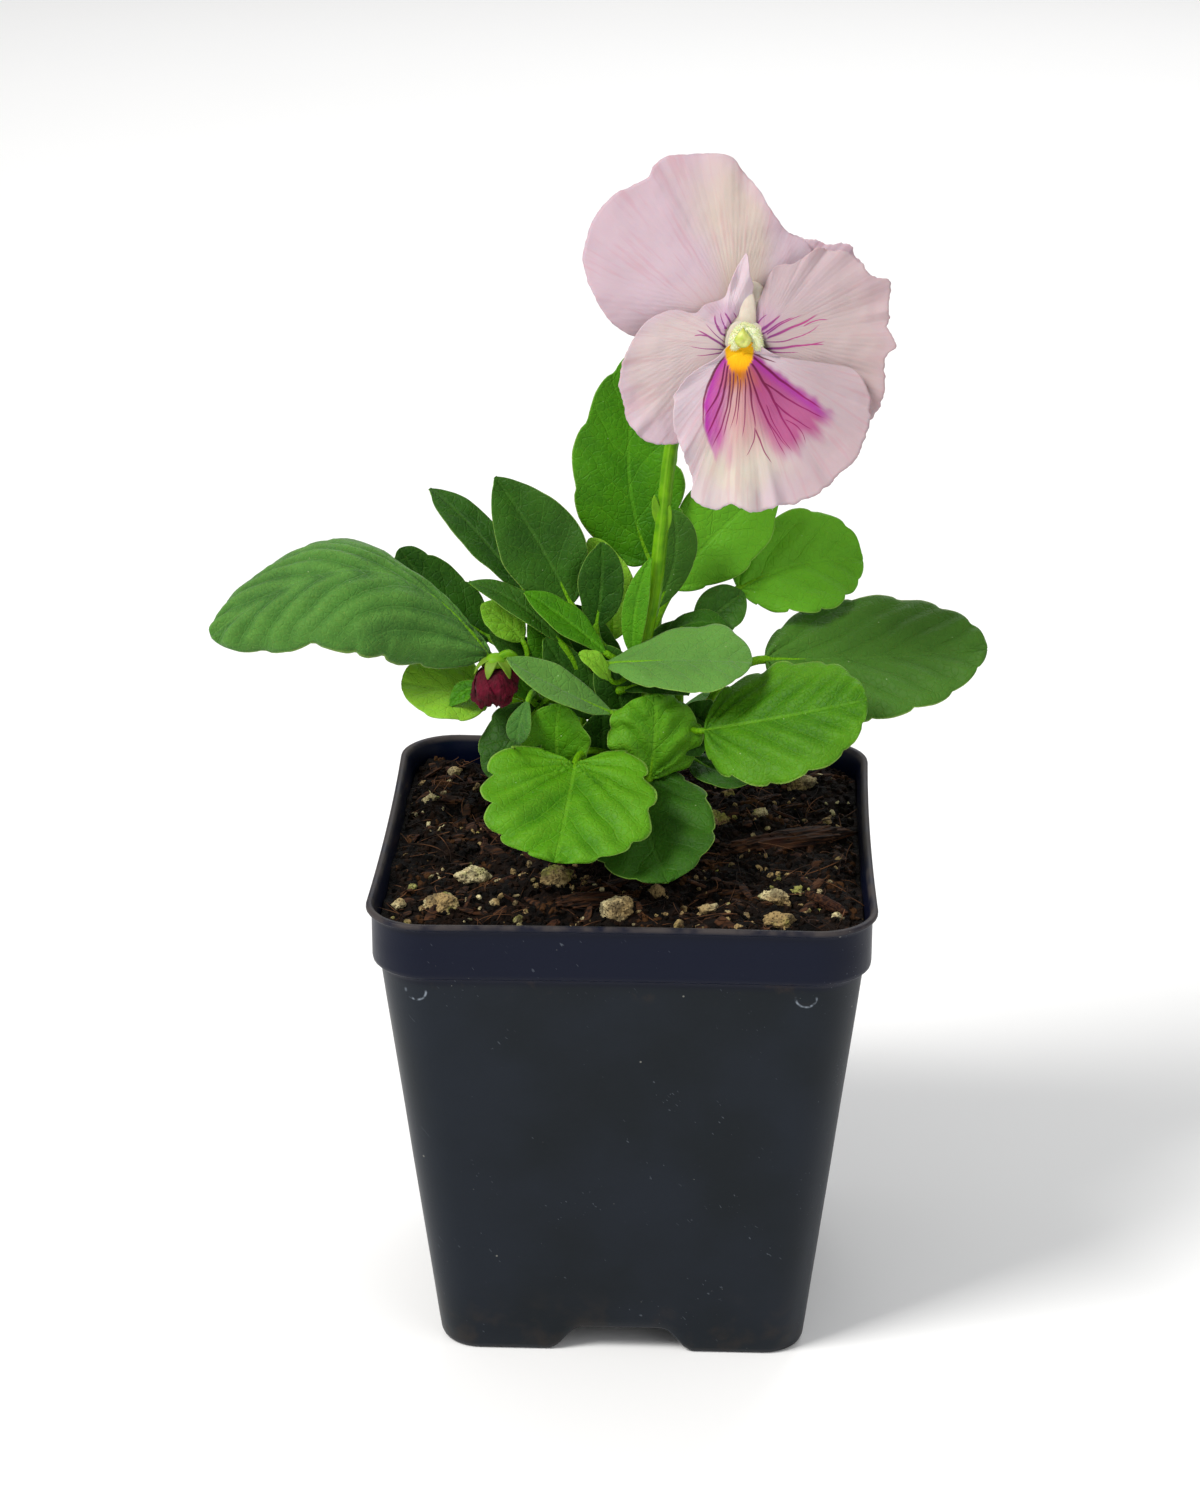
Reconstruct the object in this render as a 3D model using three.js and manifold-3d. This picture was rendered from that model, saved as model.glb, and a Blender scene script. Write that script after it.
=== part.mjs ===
// A pansy in a square nursery pot. Millimetres, +Z up, and -Y is the front. The origin is under the
// middle of the whole object, on the surface that it stands on. Every piece is shaped round the
// middle of the pot, and PLACE then moves the whole object.
import * as THREE from "three";
import { mergeVertices } from "three/addons/utils/BufferGeometryUtils.js";
import Module from "manifold-3d";

const wasm = await Module();
wasm.setup();

// ---- Driving dimensions ----

const PLACE = [4.81, 0, 0]; // the leaves reach further to the left, so the pot stands to the right

const GAP = 0.3; // clearance between pieces that touch in the real plant
const SLIVER = 0.005; // faces finer than this are merged into their neighbours

// Pot: a 3.5 inch square nursery pot.
const POT_HEIGHT = 90;
const LIP_HALF = 44.5; // half of the width over the lip
const BAND_HALF = 43.6; // half of the width over the band below the lip
const BAND_BOTTOM = 79; // height where the band steps in to the wall
const WALL_TOP_HALF = 42.3;
const BASE_HALF = 33.2;
const WALL = 1.1; // thickness of wall, band and floor
const LIP_CORNER = 10.4; // corner radii, on the outside
const BAND_CORNER = 10;
const WALL_TOP_CORNER = 9.4;
const BASE_CORNER = 7.3;
const LIP_HEIGHT = 1.5;
const LIP_ROUND = 0.5; // bevel along the lip's upper edge
const FOOT_ROUND = 0.8; // bevel under the feet
const BAND_STEP = 0.6; // half of the height of the step inside the band
const CHANNEL_FOOT = 13; // half of the channel's width where the feet stand
const CHANNEL_ROOF = 7.5; // half of the channel's width at its roof
const CHANNEL_HEIGHT = 4.6;
const FOOT_EASE = 3; // reach of the slope's rounding at the feet and at the roof
const ROOF_EASE = 2;
const DRAIN_RADIUS = 3;
const DRAIN_OFFSET = 20; // from the middle of the floor to each outer drain hole
const CORNER_STEPS = 7;

// Potting mix.
const MIX_LEVEL = 86.6; // mean height of its surface
const MIX_ROUGHNESS = 0.5;
const MIX_RINGS = [1, 0.8, 0.6, 0.4, 0.2]; // its surface's rings, as shares of its half width
const LUMP_RISE = 0.25; // share of its half height that a lump's middle stands above the mix

// Plant.
const STEM_RADIUS = 2.2;
const SHOOT_RADIUS = 1.7;
const STALK_RADIUS = 1.3; // flower stalk
const PETIOLE_RADIUS = 0.8; // leaf stalk
const BLADE_HALF_THICKNESS = 0.4;
const PETAL_HALF_THICKNESS = 0.35;
const NECK_RADIUS = 0.7; // narrow neck that joins a petal to the receptacle
const LEAF_FOLD = 0.18; // rise of a blade's edge over its midrib, per unit of half width

// Flower: its throat, and how far its face turns from the front and looks up.
const THROAT = [19.8, -8, 183.2];
const FLOWER_TURN = 2;
const FLOWER_TILT = 18;

// ---- Vectors and closed solids ----

const radians = THREE.MathUtils.degToRad;
const vector = (p) => new THREE.Vector3(...p);

// A solid from a geometry that is closed: vertices merged, faces turned outwards.
function solidOf(geometry) {
  const bare = geometry.clone();
  bare.deleteAttribute("normal");
  bare.deleteAttribute("uv");
  const merged = mergeVertices(bare, 1e-4);
  const mesh = (triVerts) =>
    new wasm.Manifold(
      new wasm.Mesh({
        numProp: 3,
        vertProperties: merged.attributes.position.array,
        triVerts,
      }),
    );
  const faces = new Uint32Array(merged.index.array);
  const made = mesh(faces);
  return made.volume() < 0 ? mesh(faces.slice().reverse()) : made;
}

function geometryOf(solid) {
  const mesh = solid.getMesh();
  const count = mesh.vertProperties.length / mesh.numProp;
  const positions = new Float32Array(count * 3);
  for (let i = 0; i < count; i++) {
    const start = i * mesh.numProp;
    positions.set(mesh.vertProperties.subarray(start, start + 3), i * 3);
  }
  const geometry = new THREE.BufferGeometry();
  geometry.setAttribute("position", new THREE.BufferAttribute(positions, 3));
  geometry.setIndex(new THREE.BufferAttribute(mesh.triVerts, 1));
  geometry.computeVertexNormals();
  return geometry;
}

// Closed solid through a row of rings with equal numbers of points; both ends are capped by a fan.
function loft(rings) {
  const count = rings[0].length;
  const points = rings.flat();
  const index = [];
  for (let k = 0; k + 1 < rings.length; k++) {
    for (let i = 0; i < count; i++) {
      const a = k * count + i;
      const b = k * count + ((i + 1) % count);
      index.push(a, b, b + count, a, b + count, a + count);
    }
  }
  const last = (rings.length - 1) * count;
  const centre = (ring) =>
    ring.reduce((sum, p) => sum.add(p), new THREE.Vector3()).divideScalar(count);
  points.push(centre(rings[0]), centre(rings[rings.length - 1]));
  for (let i = 0; i < count; i++) {
    const next = (i + 1) % count;
    index.push(points.length - 2, next, i, points.length - 1, last + i, last + next);
  }
  const geometry = new THREE.BufferGeometry().setFromPoints(points);
  geometry.setIndex(index);
  return solidOf(geometry);
}

// Round rod along a curve, tapering from one radius to the other; the margin grows it all round.
function rod(curve, fromRadius, toRadius, margin, steps, sides = 8) {
  const frames = curve.computeFrenetFrames(steps);
  const rings = [];
  for (let k = 0; k <= steps; k++) {
    const overrun = margin * ((k === steps) - (k === 0));
    const middle = curve.getPointAt(k / steps).addScaledVector(frames.tangents[k], overrun);
    const radius = THREE.MathUtils.lerp(fromRadius, toRadius, k / steps) + margin;
    const ring = [];
    for (let i = 0; i < sides; i++) {
      const angle = (2 * Math.PI * i) / sides;
      const across = frames.normals[k].clone().multiplyScalar(Math.cos(angle) * radius);
      const upward = frames.binormals[k].clone().multiplyScalar(Math.sin(angle) * radius);
      ring.push(middle.clone().add(across).add(upward));
    }
    rings.push(ring);
  }
  return loft(rings);
}

// The largest body of a solid that a cut may have parted.
function largest(solid) {
  const bodies = solid.decompose();
  return bodies.reduce((best, body) => (body.volume() > best.volume() ? body : best));
}

// ---- Pot ----

// Square ring with round corners at one height.
function squareRing(half, corner, z) {
  const ring = [];
  for (let quarter = 0; quarter < 4; quarter++) {
    for (let k = 0; k <= CORNER_STEPS; k++) {
      const turn = radians(90 * quarter + (90 * k) / CORNER_STEPS);
      const middle = radians(90 * quarter + 45);
      const reach = (half - corner) * Math.SQRT2;
      const x = reach * Math.cos(middle) + corner * Math.cos(turn);
      const y = reach * Math.sin(middle) + corner * Math.sin(turn);
      ring.push(new THREE.Vector3(x, y, z));
    }
  }
  return ring;
}

// Half width of the wall's outside at a height below the band.
function wallHalf(z) {
  return THREE.MathUtils.lerp(BASE_HALF, WALL_TOP_HALF, z / BAND_BOTTOM);
}

function wallCorner(z) {
  return THREE.MathUtils.lerp(BASE_CORNER, WALL_TOP_CORNER, z / BAND_BOTTOM);
}

function potOutside() {
  return loft([
    squareRing(BASE_HALF - FOOT_ROUND, BASE_CORNER - FOOT_ROUND, 0),
    squareRing(BASE_HALF, BASE_CORNER, FOOT_ROUND),
    squareRing(WALL_TOP_HALF, WALL_TOP_CORNER, BAND_BOTTOM),
    squareRing(BAND_HALF, BAND_CORNER, BAND_BOTTOM + BAND_STEP),
    squareRing(BAND_HALF, BAND_CORNER, POT_HEIGHT - LIP_HEIGHT - LIP_ROUND),
    squareRing(LIP_HALF, LIP_CORNER, POT_HEIGHT - LIP_HEIGHT),
    squareRing(LIP_HALF, LIP_CORNER, POT_HEIGHT - LIP_ROUND),
    squareRing(LIP_HALF - LIP_ROUND, LIP_CORNER - LIP_ROUND, POT_HEIGHT),
  ]);
}

// The rings of the room inside the walls, smaller by a margin all round, from the floor to the band.
function roomRings(margin) {
  const inset = WALL + margin;
  return [
    squareRing(wallHalf(inset) - inset, wallCorner(inset) - inset, inset),
    squareRing(WALL_TOP_HALF - inset, WALL_TOP_CORNER - inset, BAND_BOTTOM - BAND_STEP + margin),
    squareRing(BAND_HALF - inset, BAND_CORNER - inset, BAND_BOTTOM + BAND_STEP + margin),
  ];
}

function potInside() {
  const mouth = squareRing(BAND_HALF - WALL, BAND_CORNER - WALL, POT_HEIGHT + 1);
  return loft([...roomRings(0), mouth]);
}

// The two channels that cross under the floor, larger by a margin.
function channels(margin) {
  const length = 2 * LIP_HALF;
  const outline = new THREE.Shape();
  const below = -1;
  const top = CHANNEL_HEIGHT + margin;
  const foot = CHANNEL_FOOT + margin;
  const roof = CHANNEL_ROOF + margin;
  outline.moveTo(-foot, below);
  outline.lineTo(-foot, 0);
  outline.bezierCurveTo(-foot + FOOT_EASE, 0, -roof - ROOF_EASE, top, -roof, top);
  outline.lineTo(roof, top);
  outline.bezierCurveTo(roof + ROOF_EASE, top, foot - FOOT_EASE, 0, foot, 0);
  outline.lineTo(foot, below);
  outline.closePath();
  const run = new THREE.ExtrudeGeometry(outline, {
    depth: length,
    bevelEnabled: false,
    curveSegments: 4,
  });
  run.rotateX(Math.PI / 2);
  run.translate(0, length / 2, 0);
  const along = solidOf(run);
  run.rotateZ(Math.PI / 2);
  return along.add(solidOf(run));
}

function drainHole(x, y) {
  const hole = new THREE.CylinderGeometry(DRAIN_RADIUS, DRAIN_RADIUS, CHANNEL_HEIGHT + 2, 16);
  hole.rotateX(Math.PI / 2);
  hole.translate(x, y, CHANNEL_HEIGHT);
  return solidOf(hole);
}

function makePot() {
  const outside = potOutside();
  const vaults = channels(WALL).intersect(outside);
  const pot = outside.subtract(potInside()).add(vaults).subtract(channels(0));
  const places = [0, 90, 180, 270].map(radians);
  const holes = places.map((turn) =>
    drainHole(DRAIN_OFFSET * Math.cos(turn), DRAIN_OFFSET * Math.sin(turn)),
  );
  return [drainHole(0, 0), ...holes].reduce((rest, hole) => rest.subtract(hole), pot);
}

// ---- Potting mix and what lies in it ----

function mixHeight(x, y) {
  const waves = Math.sin(0.19 * x + 1) * Math.cos(0.23 * y) + 0.7 * Math.sin(0.41 * x - 0.37 * y + 2);
  return MIX_LEVEL - 0.01 * y + MIX_ROUGHNESS * waves;
}

// The block under the uneven surface, before the plant and the stones are let into it.
function mixBlock() {
  const inset = WALL + GAP;
  const surface = MIX_RINGS.map((share) => {
    const ring = squareRing((BAND_HALF - inset) * share, (BAND_CORNER - inset) * share, 0);
    return ring.map((p) => p.setZ(mixHeight(p.x, p.y)));
  });
  return loft([...roomRings(GAP), ...surface]).subtract(channels(inset));
}

// Lumps in the surface: place [x, y], half sizes [along, across, up], turn in degrees and material.
const LUMPS = [
  { name: "pumice_front_left", at: [-27.5, -16.5], half: [3.2, 2.6, 2.2], turn: 20, tone: "cream" },
  { name: "pumice_corner_left", at: [-31.5, -31], half: [3.4, 2.4, 1.8], turn: -15, tone: "cream" },
  { name: "pumice_front_middle", at: [-0.5, -32], half: [3.0, 3.0, 2.6], turn: 40, tone: "tan" },
  { name: "pumice_under_leaf", at: [-12, -17], half: [2.6, 3.6, 2.2], turn: -30, tone: "moss" },
  { name: "pumice_front_right", at: [26.5, -24], half: [3.6, 1.8, 1.6], turn: -35, tone: "cream" },
  { name: "pumice_corner_right", at: [27, -34.5], half: [2.8, 1.9, 1.4], turn: 10, tone: "cream" },
  { name: "pumice_right", at: [16, 11], half: [2.2, 2.6, 2.0], turn: 0, tone: "tan" },
  { name: "pumice_rear_right", at: [32, 30], half: [3.4, 2.6, 2.0], turn: 15, tone: "tan" },
  { name: "pumice_rear_left", at: [-38, 18], half: [2.2, 1.8, 1.5], turn: 60, tone: "tan" },
  { name: "bark_front", at: [-6, -26.5], half: [5.5, 2.6, 1.3], turn: 12, tone: "bark" },
  { name: "bark_sliver", at: [35.5, -27.5], half: [5.5, 0.9, 1.0], turn: -50, tone: "bark" },
  { name: "bark_ridge", at: [30, 1], half: [11, 3.2, 1.5], turn: 22, tone: "bark" },
];

// A lump is a dented ball, larger by a margin when it cuts its own seat in the mix.
function lumpSolid(lump, margin) {
  const ball = new THREE.IcosahedronGeometry(1, 1);
  const place = ball.getAttribute("position");
  const [along, across, up] = lump.half;
  const [x, y] = lump.at;
  for (let i = 0; i < place.count; i++) {
    const p = new THREE.Vector3().fromBufferAttribute(place, i);
    const dent = 1 + 0.12 * Math.sin(3 * p.x + x) * Math.cos(4 * p.y - y) - 0.1 * Math.cos(5 * p.z + x);
    p.multiplyScalar(dent);
    place.setXYZ(i, p.x * (along + margin), p.y * (across + margin), p.z * (up + margin));
  }
  ball.rotateZ(radians(lump.turn));
  ball.translate(x, y, mixHeight(x, y) + up * LUMP_RISE);
  return solidOf(ball);
}

// ---- Stem, shoots and roots ----

const SHOOTS = {
  main: [[0, 3, 84], [0.5, 3.5, 98], [1.5, 3.5, 112], [2.6, 1, 123]],
  left: [[0, 2.5, 90], [-6, 1.5, 100], [-13, 0, 110], [-19, -1, 117]],
  right: [[0.5, 2, 90], [5, 0, 98], [9, -2, 105], [12, -3, 111]],
};

const curves = {};
for (const [name, points] of Object.entries(SHOOTS)) {
  curves[name] = new THREE.CatmullRomCurve3(points.map(vector));
}

const ROOTS = [
  { points: [[0, 3, 86], [1, 3, 70], [-1, 2, 52], [1, 1, 34]], radius: 2.2 },
  { points: [[0, 3, 82], [9, -3, 76], [20, -8, 62], [26, -14, 44]], radius: 1.2 },
  { points: [[0, 3, 80], [-10, 6, 74], [-21, 12, 58], [-25, 14, 38]], radius: 1.2 },
  { points: [[0, 3, 76], [-5, -8, 68], [-10, -20, 52], [-12, -25, 34]], radius: 1.1 },
  { points: [[0, 3, 72], [8, 12, 64], [15, 22, 48], [17, 26, 30]], radius: 1.1 },
];
const ROOT_TIP = 0.5;

function stemSolid(margin) {
  const stem = rod(curves.main, STEM_RADIUS, SHOOT_RADIUS, margin, 6);
  const left = rod(curves.left, SHOOT_RADIUS, SHOOT_RADIUS - 0.3, margin, 5);
  const right = rod(curves.right, SHOOT_RADIUS, SHOOT_RADIUS - 0.3, margin, 5);
  const roots = ROOTS.map(({ points, radius }) => {
    const curve = new THREE.CatmullRomCurve3(points.map(vector));
    return rod(curve, radius, ROOT_TIP, margin, 4, 6);
  });
  return [left, right, ...roots].reduce((whole, part) => whole.add(part), stem);
}

// ---- Leaves ----

// A leaf grows from a shoot at a share of its length. Its midrib runs from base over middle to tip;
// face is the way its upper side looks; width is across both halves; belly is where it is widest;
// full rounds the outline; lobe pushes the basal corners back past the stalk.
function leaf(name, shoot, at, tone, shape) {
  return { name, shoot, at, tone, lobe: 0, belly: 0.5, full: 0.6, ...shape };
}

const LEAVES = [
  leaf("leaf_left_long", "left", 0.95, "grey", {
    base: [-25, -2, 124], middle: [-47, -5, 137], tip: [-73.5, -8, 128],
    face: [-0.1, -0.45, 0.9], width: 27.5, full: 0.55, lobe: 2 }),
  leaf("leaf_left_rear", "left", 0.8, "dark", {
    base: [-25, 6, 124], middle: [-33, 8, 130.5], tip: [-41, 10, 140.5],
    face: [-0.3, -0.4, 0.85], width: 12 }),
  leaf("leaf_upper_left_narrow", "left", 0.55, "dark", {
    base: [-18, 8, 131], middle: [-28, 15, 141], tip: [-37, 22, 147],
    face: [0.35, -0.7, 0.6], width: 9, full: 0.75 }),
  leaf("leaf_upper_left_broad", "main", 0.8, "dark", {
    base: [-10.5, 5, 131], middle: [-16.8, 8, 141.5], tip: [-24.5, 11, 153],
    face: [0.05, -0.9, 0.4], width: 14.5, belly: 0.45, full: 0.75 }),
  leaf("leaf_middle_small", "main", 0.85, "dark", {
    base: [-6, 3, 127.5], middle: [-5, 4, 135.5], tip: [-5, 5, 143],
    face: [0, -1, 0.2], width: 8.5 }),
  leaf("leaf_middle_pale", "main", 0.75, "pale", {
    base: [-3.5, 10, 122.5], middle: [-4, 11, 132], tip: [-7.5, 13, 141],
    face: [0, -1, 0.2], width: 10 }),
  leaf("leaf_tall_round", "main", 0.55, "mid", {
    base: [3.5, 12, 137], middle: [0.5, 16, 153], tip: [4, 18, 173],
    face: [-0.1, -0.95, 0.2], width: 20, belly: 0.42, full: 0.55, lobe: 1 }),
  leaf("leaf_stalk_right", "main", 0.95, "dark", {
    base: [4.5, 4, 130.5], middle: [8, 5, 140], tip: [7.5, 7, 148.5],
    face: [0.1, -1, 0.2], width: 7, belly: 0.6 }),
  leaf("leaf_behind_lip", "main", 0.8, "mid", {
    base: [7.5, 10, 132.5], middle: [16, 14, 142.5], tip: [26, 18, 149.5],
    face: [0.1, -0.9, 0.35], width: 17 }),
  leaf("leaf_right_upper", "main", 0.45, "mid", {
    base: [19.5, 12, 132], middle: [31, 17, 135.5], tip: [42.5, 22, 134.5],
    face: [0, -0.75, 0.65], width: 21, full: 0.5, lobe: 1 }),
  leaf("leaf_right_long", "right", 0.9, "dark", {
    base: [24.5, 4, 121.5], middle: [43.5, 5, 121.5], tip: [64, 3, 124],
    face: [0.05, -0.55, 0.83], width: 27, full: 0.5, lobe: 1 }),
  leaf("leaf_right_front", "right", 0.95, "bright", {
    base: [14, -12, 114], middle: [28.5, -16, 118.5], tip: [42, -18, 122.5],
    face: [0.1, -0.6, 0.8], width: 26, belly: 0.45, full: 0.45, lobe: 1 }),
  leaf("leaf_right_small", "right", 0.75, "dark", {
    base: [11.5, 3, 125], middle: [16, 5, 130], tip: [20.5, 7, 133],
    face: [-0.1, -0.8, 0.6], width: 9, belly: 0.55 }),
  leaf("leaf_centre_grey", "main", 0.9, "grey", {
    base: [-4, -6, 124], middle: [10, -9, 126], tip: [22, -11, 126.5],
    face: [0.1, -0.45, 0.89], width: 17, belly: 0.6, full: 0.55 }),
  leaf("leaf_centre_rear", "main", 0.9, "dark", {
    base: [6, 1, 126], middle: [12, 0.5, 129.5], tip: [18, 0, 128.5],
    face: [0.1, -0.4, 0.9], width: 6, full: 0.7 }),
  leaf("leaf_centre_under", "main", 0.82, "dark", {
    base: [-1, -3, 118], middle: [5, -4, 119.5], tip: [11, -5, 118],
    face: [0, -0.5, 0.85], width: 5, full: 0.7 }),
  leaf("leaf_front_crinkled", "main", 0.5, "bright", {
    base: [4, -10, 104], middle: [5, -10.5, 112], tip: [5, -9, 119.5],
    face: [0.1, -0.95, 0.25], width: 17, full: 0.45, lobe: 2 }),
  leaf("leaf_front_heart", "main", 0.4, "bright", {
    base: [-9, -14.5, 108], middle: [-10, -25.5, 103.5], tip: [-11.5, -34.5, 98],
    face: [0, -0.45, 0.9], width: 31, full: 0.45, lobe: 12 }),
  leaf("leaf_front_dark", "main", 0.3, "dark", {
    base: [2, -8, 104], middle: [4.2, -20, 98], tip: [8, -31, 93],
    face: [0.05, -0.5, 0.87], width: 24, full: 0.45, lobe: 4 }),
  leaf("leaf_right_low", "right", 0.5, "dark", {
    base: [11, -2, 105], middle: [17, -6, 103.5], tip: [23.5, -9, 104],
    face: [0, -0.5, 0.87], width: 8 }),
  leaf("leaf_left_low", "left", 0.5, "dark", {
    base: [-15, -2, 115], middle: [-20, -6, 110], tip: [-24.5, -10, 103.5],
    face: [-0.3, -0.7, 0.6], width: 12 }),
  leaf("stipule_left_front", "left", 0.9, "grey", {
    base: [-17.5, -9, 118], middle: [-19, -11, 113.5], tip: [-19.2, -11, 110.5],
    face: [-0.3, -0.9, 0.3], width: 4.5, full: 0.7 }),
  leaf("leaf_front_inner", "left", 0.25, "bright", {
    base: [-12, -8, 104], middle: [-12.5, -9, 110.5], tip: [-12, -8, 117],
    face: [-0.1, -0.9, 0.4], width: 12.5, full: 0.5, lobe: 1 }),
  leaf("leaf_left_pale", "left", 0.7, "pale", {
    base: [-25, -1, 115], middle: [-32.5, -2, 116], tip: [-40.5, -3, 117.5],
    face: [-0.1, -0.5, 0.85], width: 11, full: 0.5 }),
  leaf("stipule_bud", "left", 0.85, "dark", {
    base: [-26, -5, 118.5], middle: [-29, -5, 118], tip: [-31.5, -6, 115.5],
    face: [0, -0.6, 0.8], width: 4, full: 0.7 }),
  leaf("leaf_left_grey", "main", 0.72, "grey", {
    base: [-2.5, -8, 115.5], middle: [-12.5, -11, 121.5], tip: [-21, -12, 127],
    face: [0, -0.55, 0.83], width: 7.5, full: 0.75 }),
  leaf("leaf_left_narrow", "left", 0.45, "dark", {
    base: [-12, -1, 126], middle: [-20, 0, 133], tip: [-28.5, 1, 136.5],
    face: [0, -0.5, 0.86], width: 5.5, full: 0.75 }),
  leaf("leaf_middle_narrow", "main", 0.92, "mid", {
    base: [-4, -3, 125], middle: [-11.5, -2, 131], tip: [-18.5, -1, 135.5],
    face: [0, -0.5, 0.86], width: 6.5, full: 0.75 }),
  leaf("stipule_left_pale", "left", 0.98, "pale", {
    base: [-19, 1, 125.5], middle: [-22.5, 2, 129], tip: [-26.5, 3, 131.5],
    face: [0, -0.5, 0.86], width: 6.5, full: 0.6 }),
  leaf("leaf_right_inner", "right", 0.6, "dark", {
    base: [8, -6, 114.5], middle: [11, -7, 111], tip: [13, -8, 107.5],
    face: [0, -0.7, 0.7], width: 7 }),
  leaf("stipule_stalk", "main", 0.98, "mid", {
    base: [1, -3, 124.5], middle: [1.5, -3, 134.5], tip: [4, -2, 142.5],
    face: [-0.2, -1, 0.1], width: 4.6, belly: 0.4, full: 0.75 }),
  leaf("stipule_front", "main", 0.9, "pale", {
    base: [-3, -7, 121.5], middle: [-5.5, -8.5, 125], tip: [-8.5, -9, 127],
    face: [0, -0.6, 0.8], width: 3.6 }),
  leaf("leaf_rear_middle", "main", 0.35, "mid", {
    base: [1, 15, 103], middle: [0, 26, 106], tip: [-2, 38, 102],
    face: [0, 0.35, 0.94], width: 17, full: 0.5, lobe: 1 }),
  leaf("leaf_rear_left", "left", 0.3, "mid", {
    base: [-11, 13, 102], middle: [-18, 23, 105], tip: [-26, 33, 101],
    face: [-0.25, 0.25, 0.94], width: 15, full: 0.5, lobe: 1 }),
  leaf("leaf_rear_right", "right", 0.3, "mid", {
    base: [10, 12, 102], middle: [18, 21, 105], tip: [27, 30, 101],
    face: [0.25, 0.25, 0.94], width: 15, full: 0.5, lobe: 1 }),
];

const LONG_LEAF = 15; // leaves shorter than this get fewer rings
const SHARES_LONG = [0, 0.1, 0.28, 0.5, 0.72, 0.9, 1];
const SHARES_SHORT = [0, 0.2, 0.5, 0.8, 1];

function halfWidth(shape, share) {
  const power = Math.log(0.5) / Math.log(shape.belly);
  const wave = Math.sin(Math.PI * Math.min(1, share ** power));
  return (shape.width / 2) * Math.max(0, wave) ** shape.full;
}

// One ring: a flat lens across the midrib, or a circle on the stalk.
function leafRing(sides, middle, tangent, face, half, thickness, fold, back) {
  const side = tangent.clone().cross(face).normalize();
  const normal = side.clone().cross(tangent).normalize();
  const ring = [];
  for (let k = 0; k < sides; k++) {
    const angle = (2 * k * Math.PI) / sides;
    const across = Math.cos(angle);
    const lift = thickness * Math.sin(angle) + fold * half * Math.abs(across);
    ring.push(
      middle.clone()
        .addScaledVector(side, half * across)
        .addScaledVector(normal, lift)
        .addScaledVector(tangent, -back * across * across),
    );
  }
  return ring;
}

function midrib(shape) {
  const [base, middle, tip] = [shape.base, shape.middle, shape.tip].map(vector);
  const control = middle.multiplyScalar(2).sub(base.clone().add(tip).multiplyScalar(0.5));
  return new THREE.QuadraticBezierCurve3(base, control, tip);
}

function stalkCurve(shape, rib) {
  const start = curves[shape.shoot].getPointAt(shape.at);
  const end = rib.v0;
  const reach = start.distanceTo(end) / 3;
  const away = end.clone().sub(start).normalize().add(new THREE.Vector3(0, 0, 0.6)).normalize();
  const first = start.clone().addScaledVector(away, reach);
  const second = end.clone().addScaledVector(rib.getTangent(0), -reach);
  return new THREE.CubicBezierCurve3(start, first, second, end);
}

function leafSolid(shape, margin) {
  const face = vector(shape.face).normalize();
  const rib = midrib(shape);
  const stalk = stalkCurve(shape, rib);
  const isLong = rib.getLength() > LONG_LEAF;
  const stalkSteps = isLong ? 3 : 2;
  const sides = isLong ? 8 : 6;
  const radius = PETIOLE_RADIUS + margin;
  const rings = [];
  for (let k = 0; k < stalkSteps; k++) {
    const share = k / stalkSteps;
    const [point, tangent] = [stalk.getPoint(share), stalk.getTangent(share)];
    rings.push(leafRing(sides, point, tangent, face, radius, radius, 0, 0));
  }
  for (const share of isLong ? SHARES_LONG : SHARES_SHORT) {
    const blade = halfWidth(shape, share);
    const half = Math.max(blade + margin, share < 0.5 ? radius : 0.4 + margin);
    const thin = THREE.MathUtils.smoothstep(share, 0, 0.3);
    const thickness = THREE.MathUtils.lerp(radius, BLADE_HALF_THICKNESS + margin, thin);
    const back = shape.lobe * (1 - share) ** 2 * Math.min(1, (2 * blade) / shape.width);
    const [point, tangent] = [rib.getPoint(share), rib.getTangent(share)];
    rings.push(leafRing(sides, point, tangent, face, half, thickness, LEAF_FOLD * thin, back));
  }
  return loft(rings);
}

// ---- Flower ----

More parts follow.
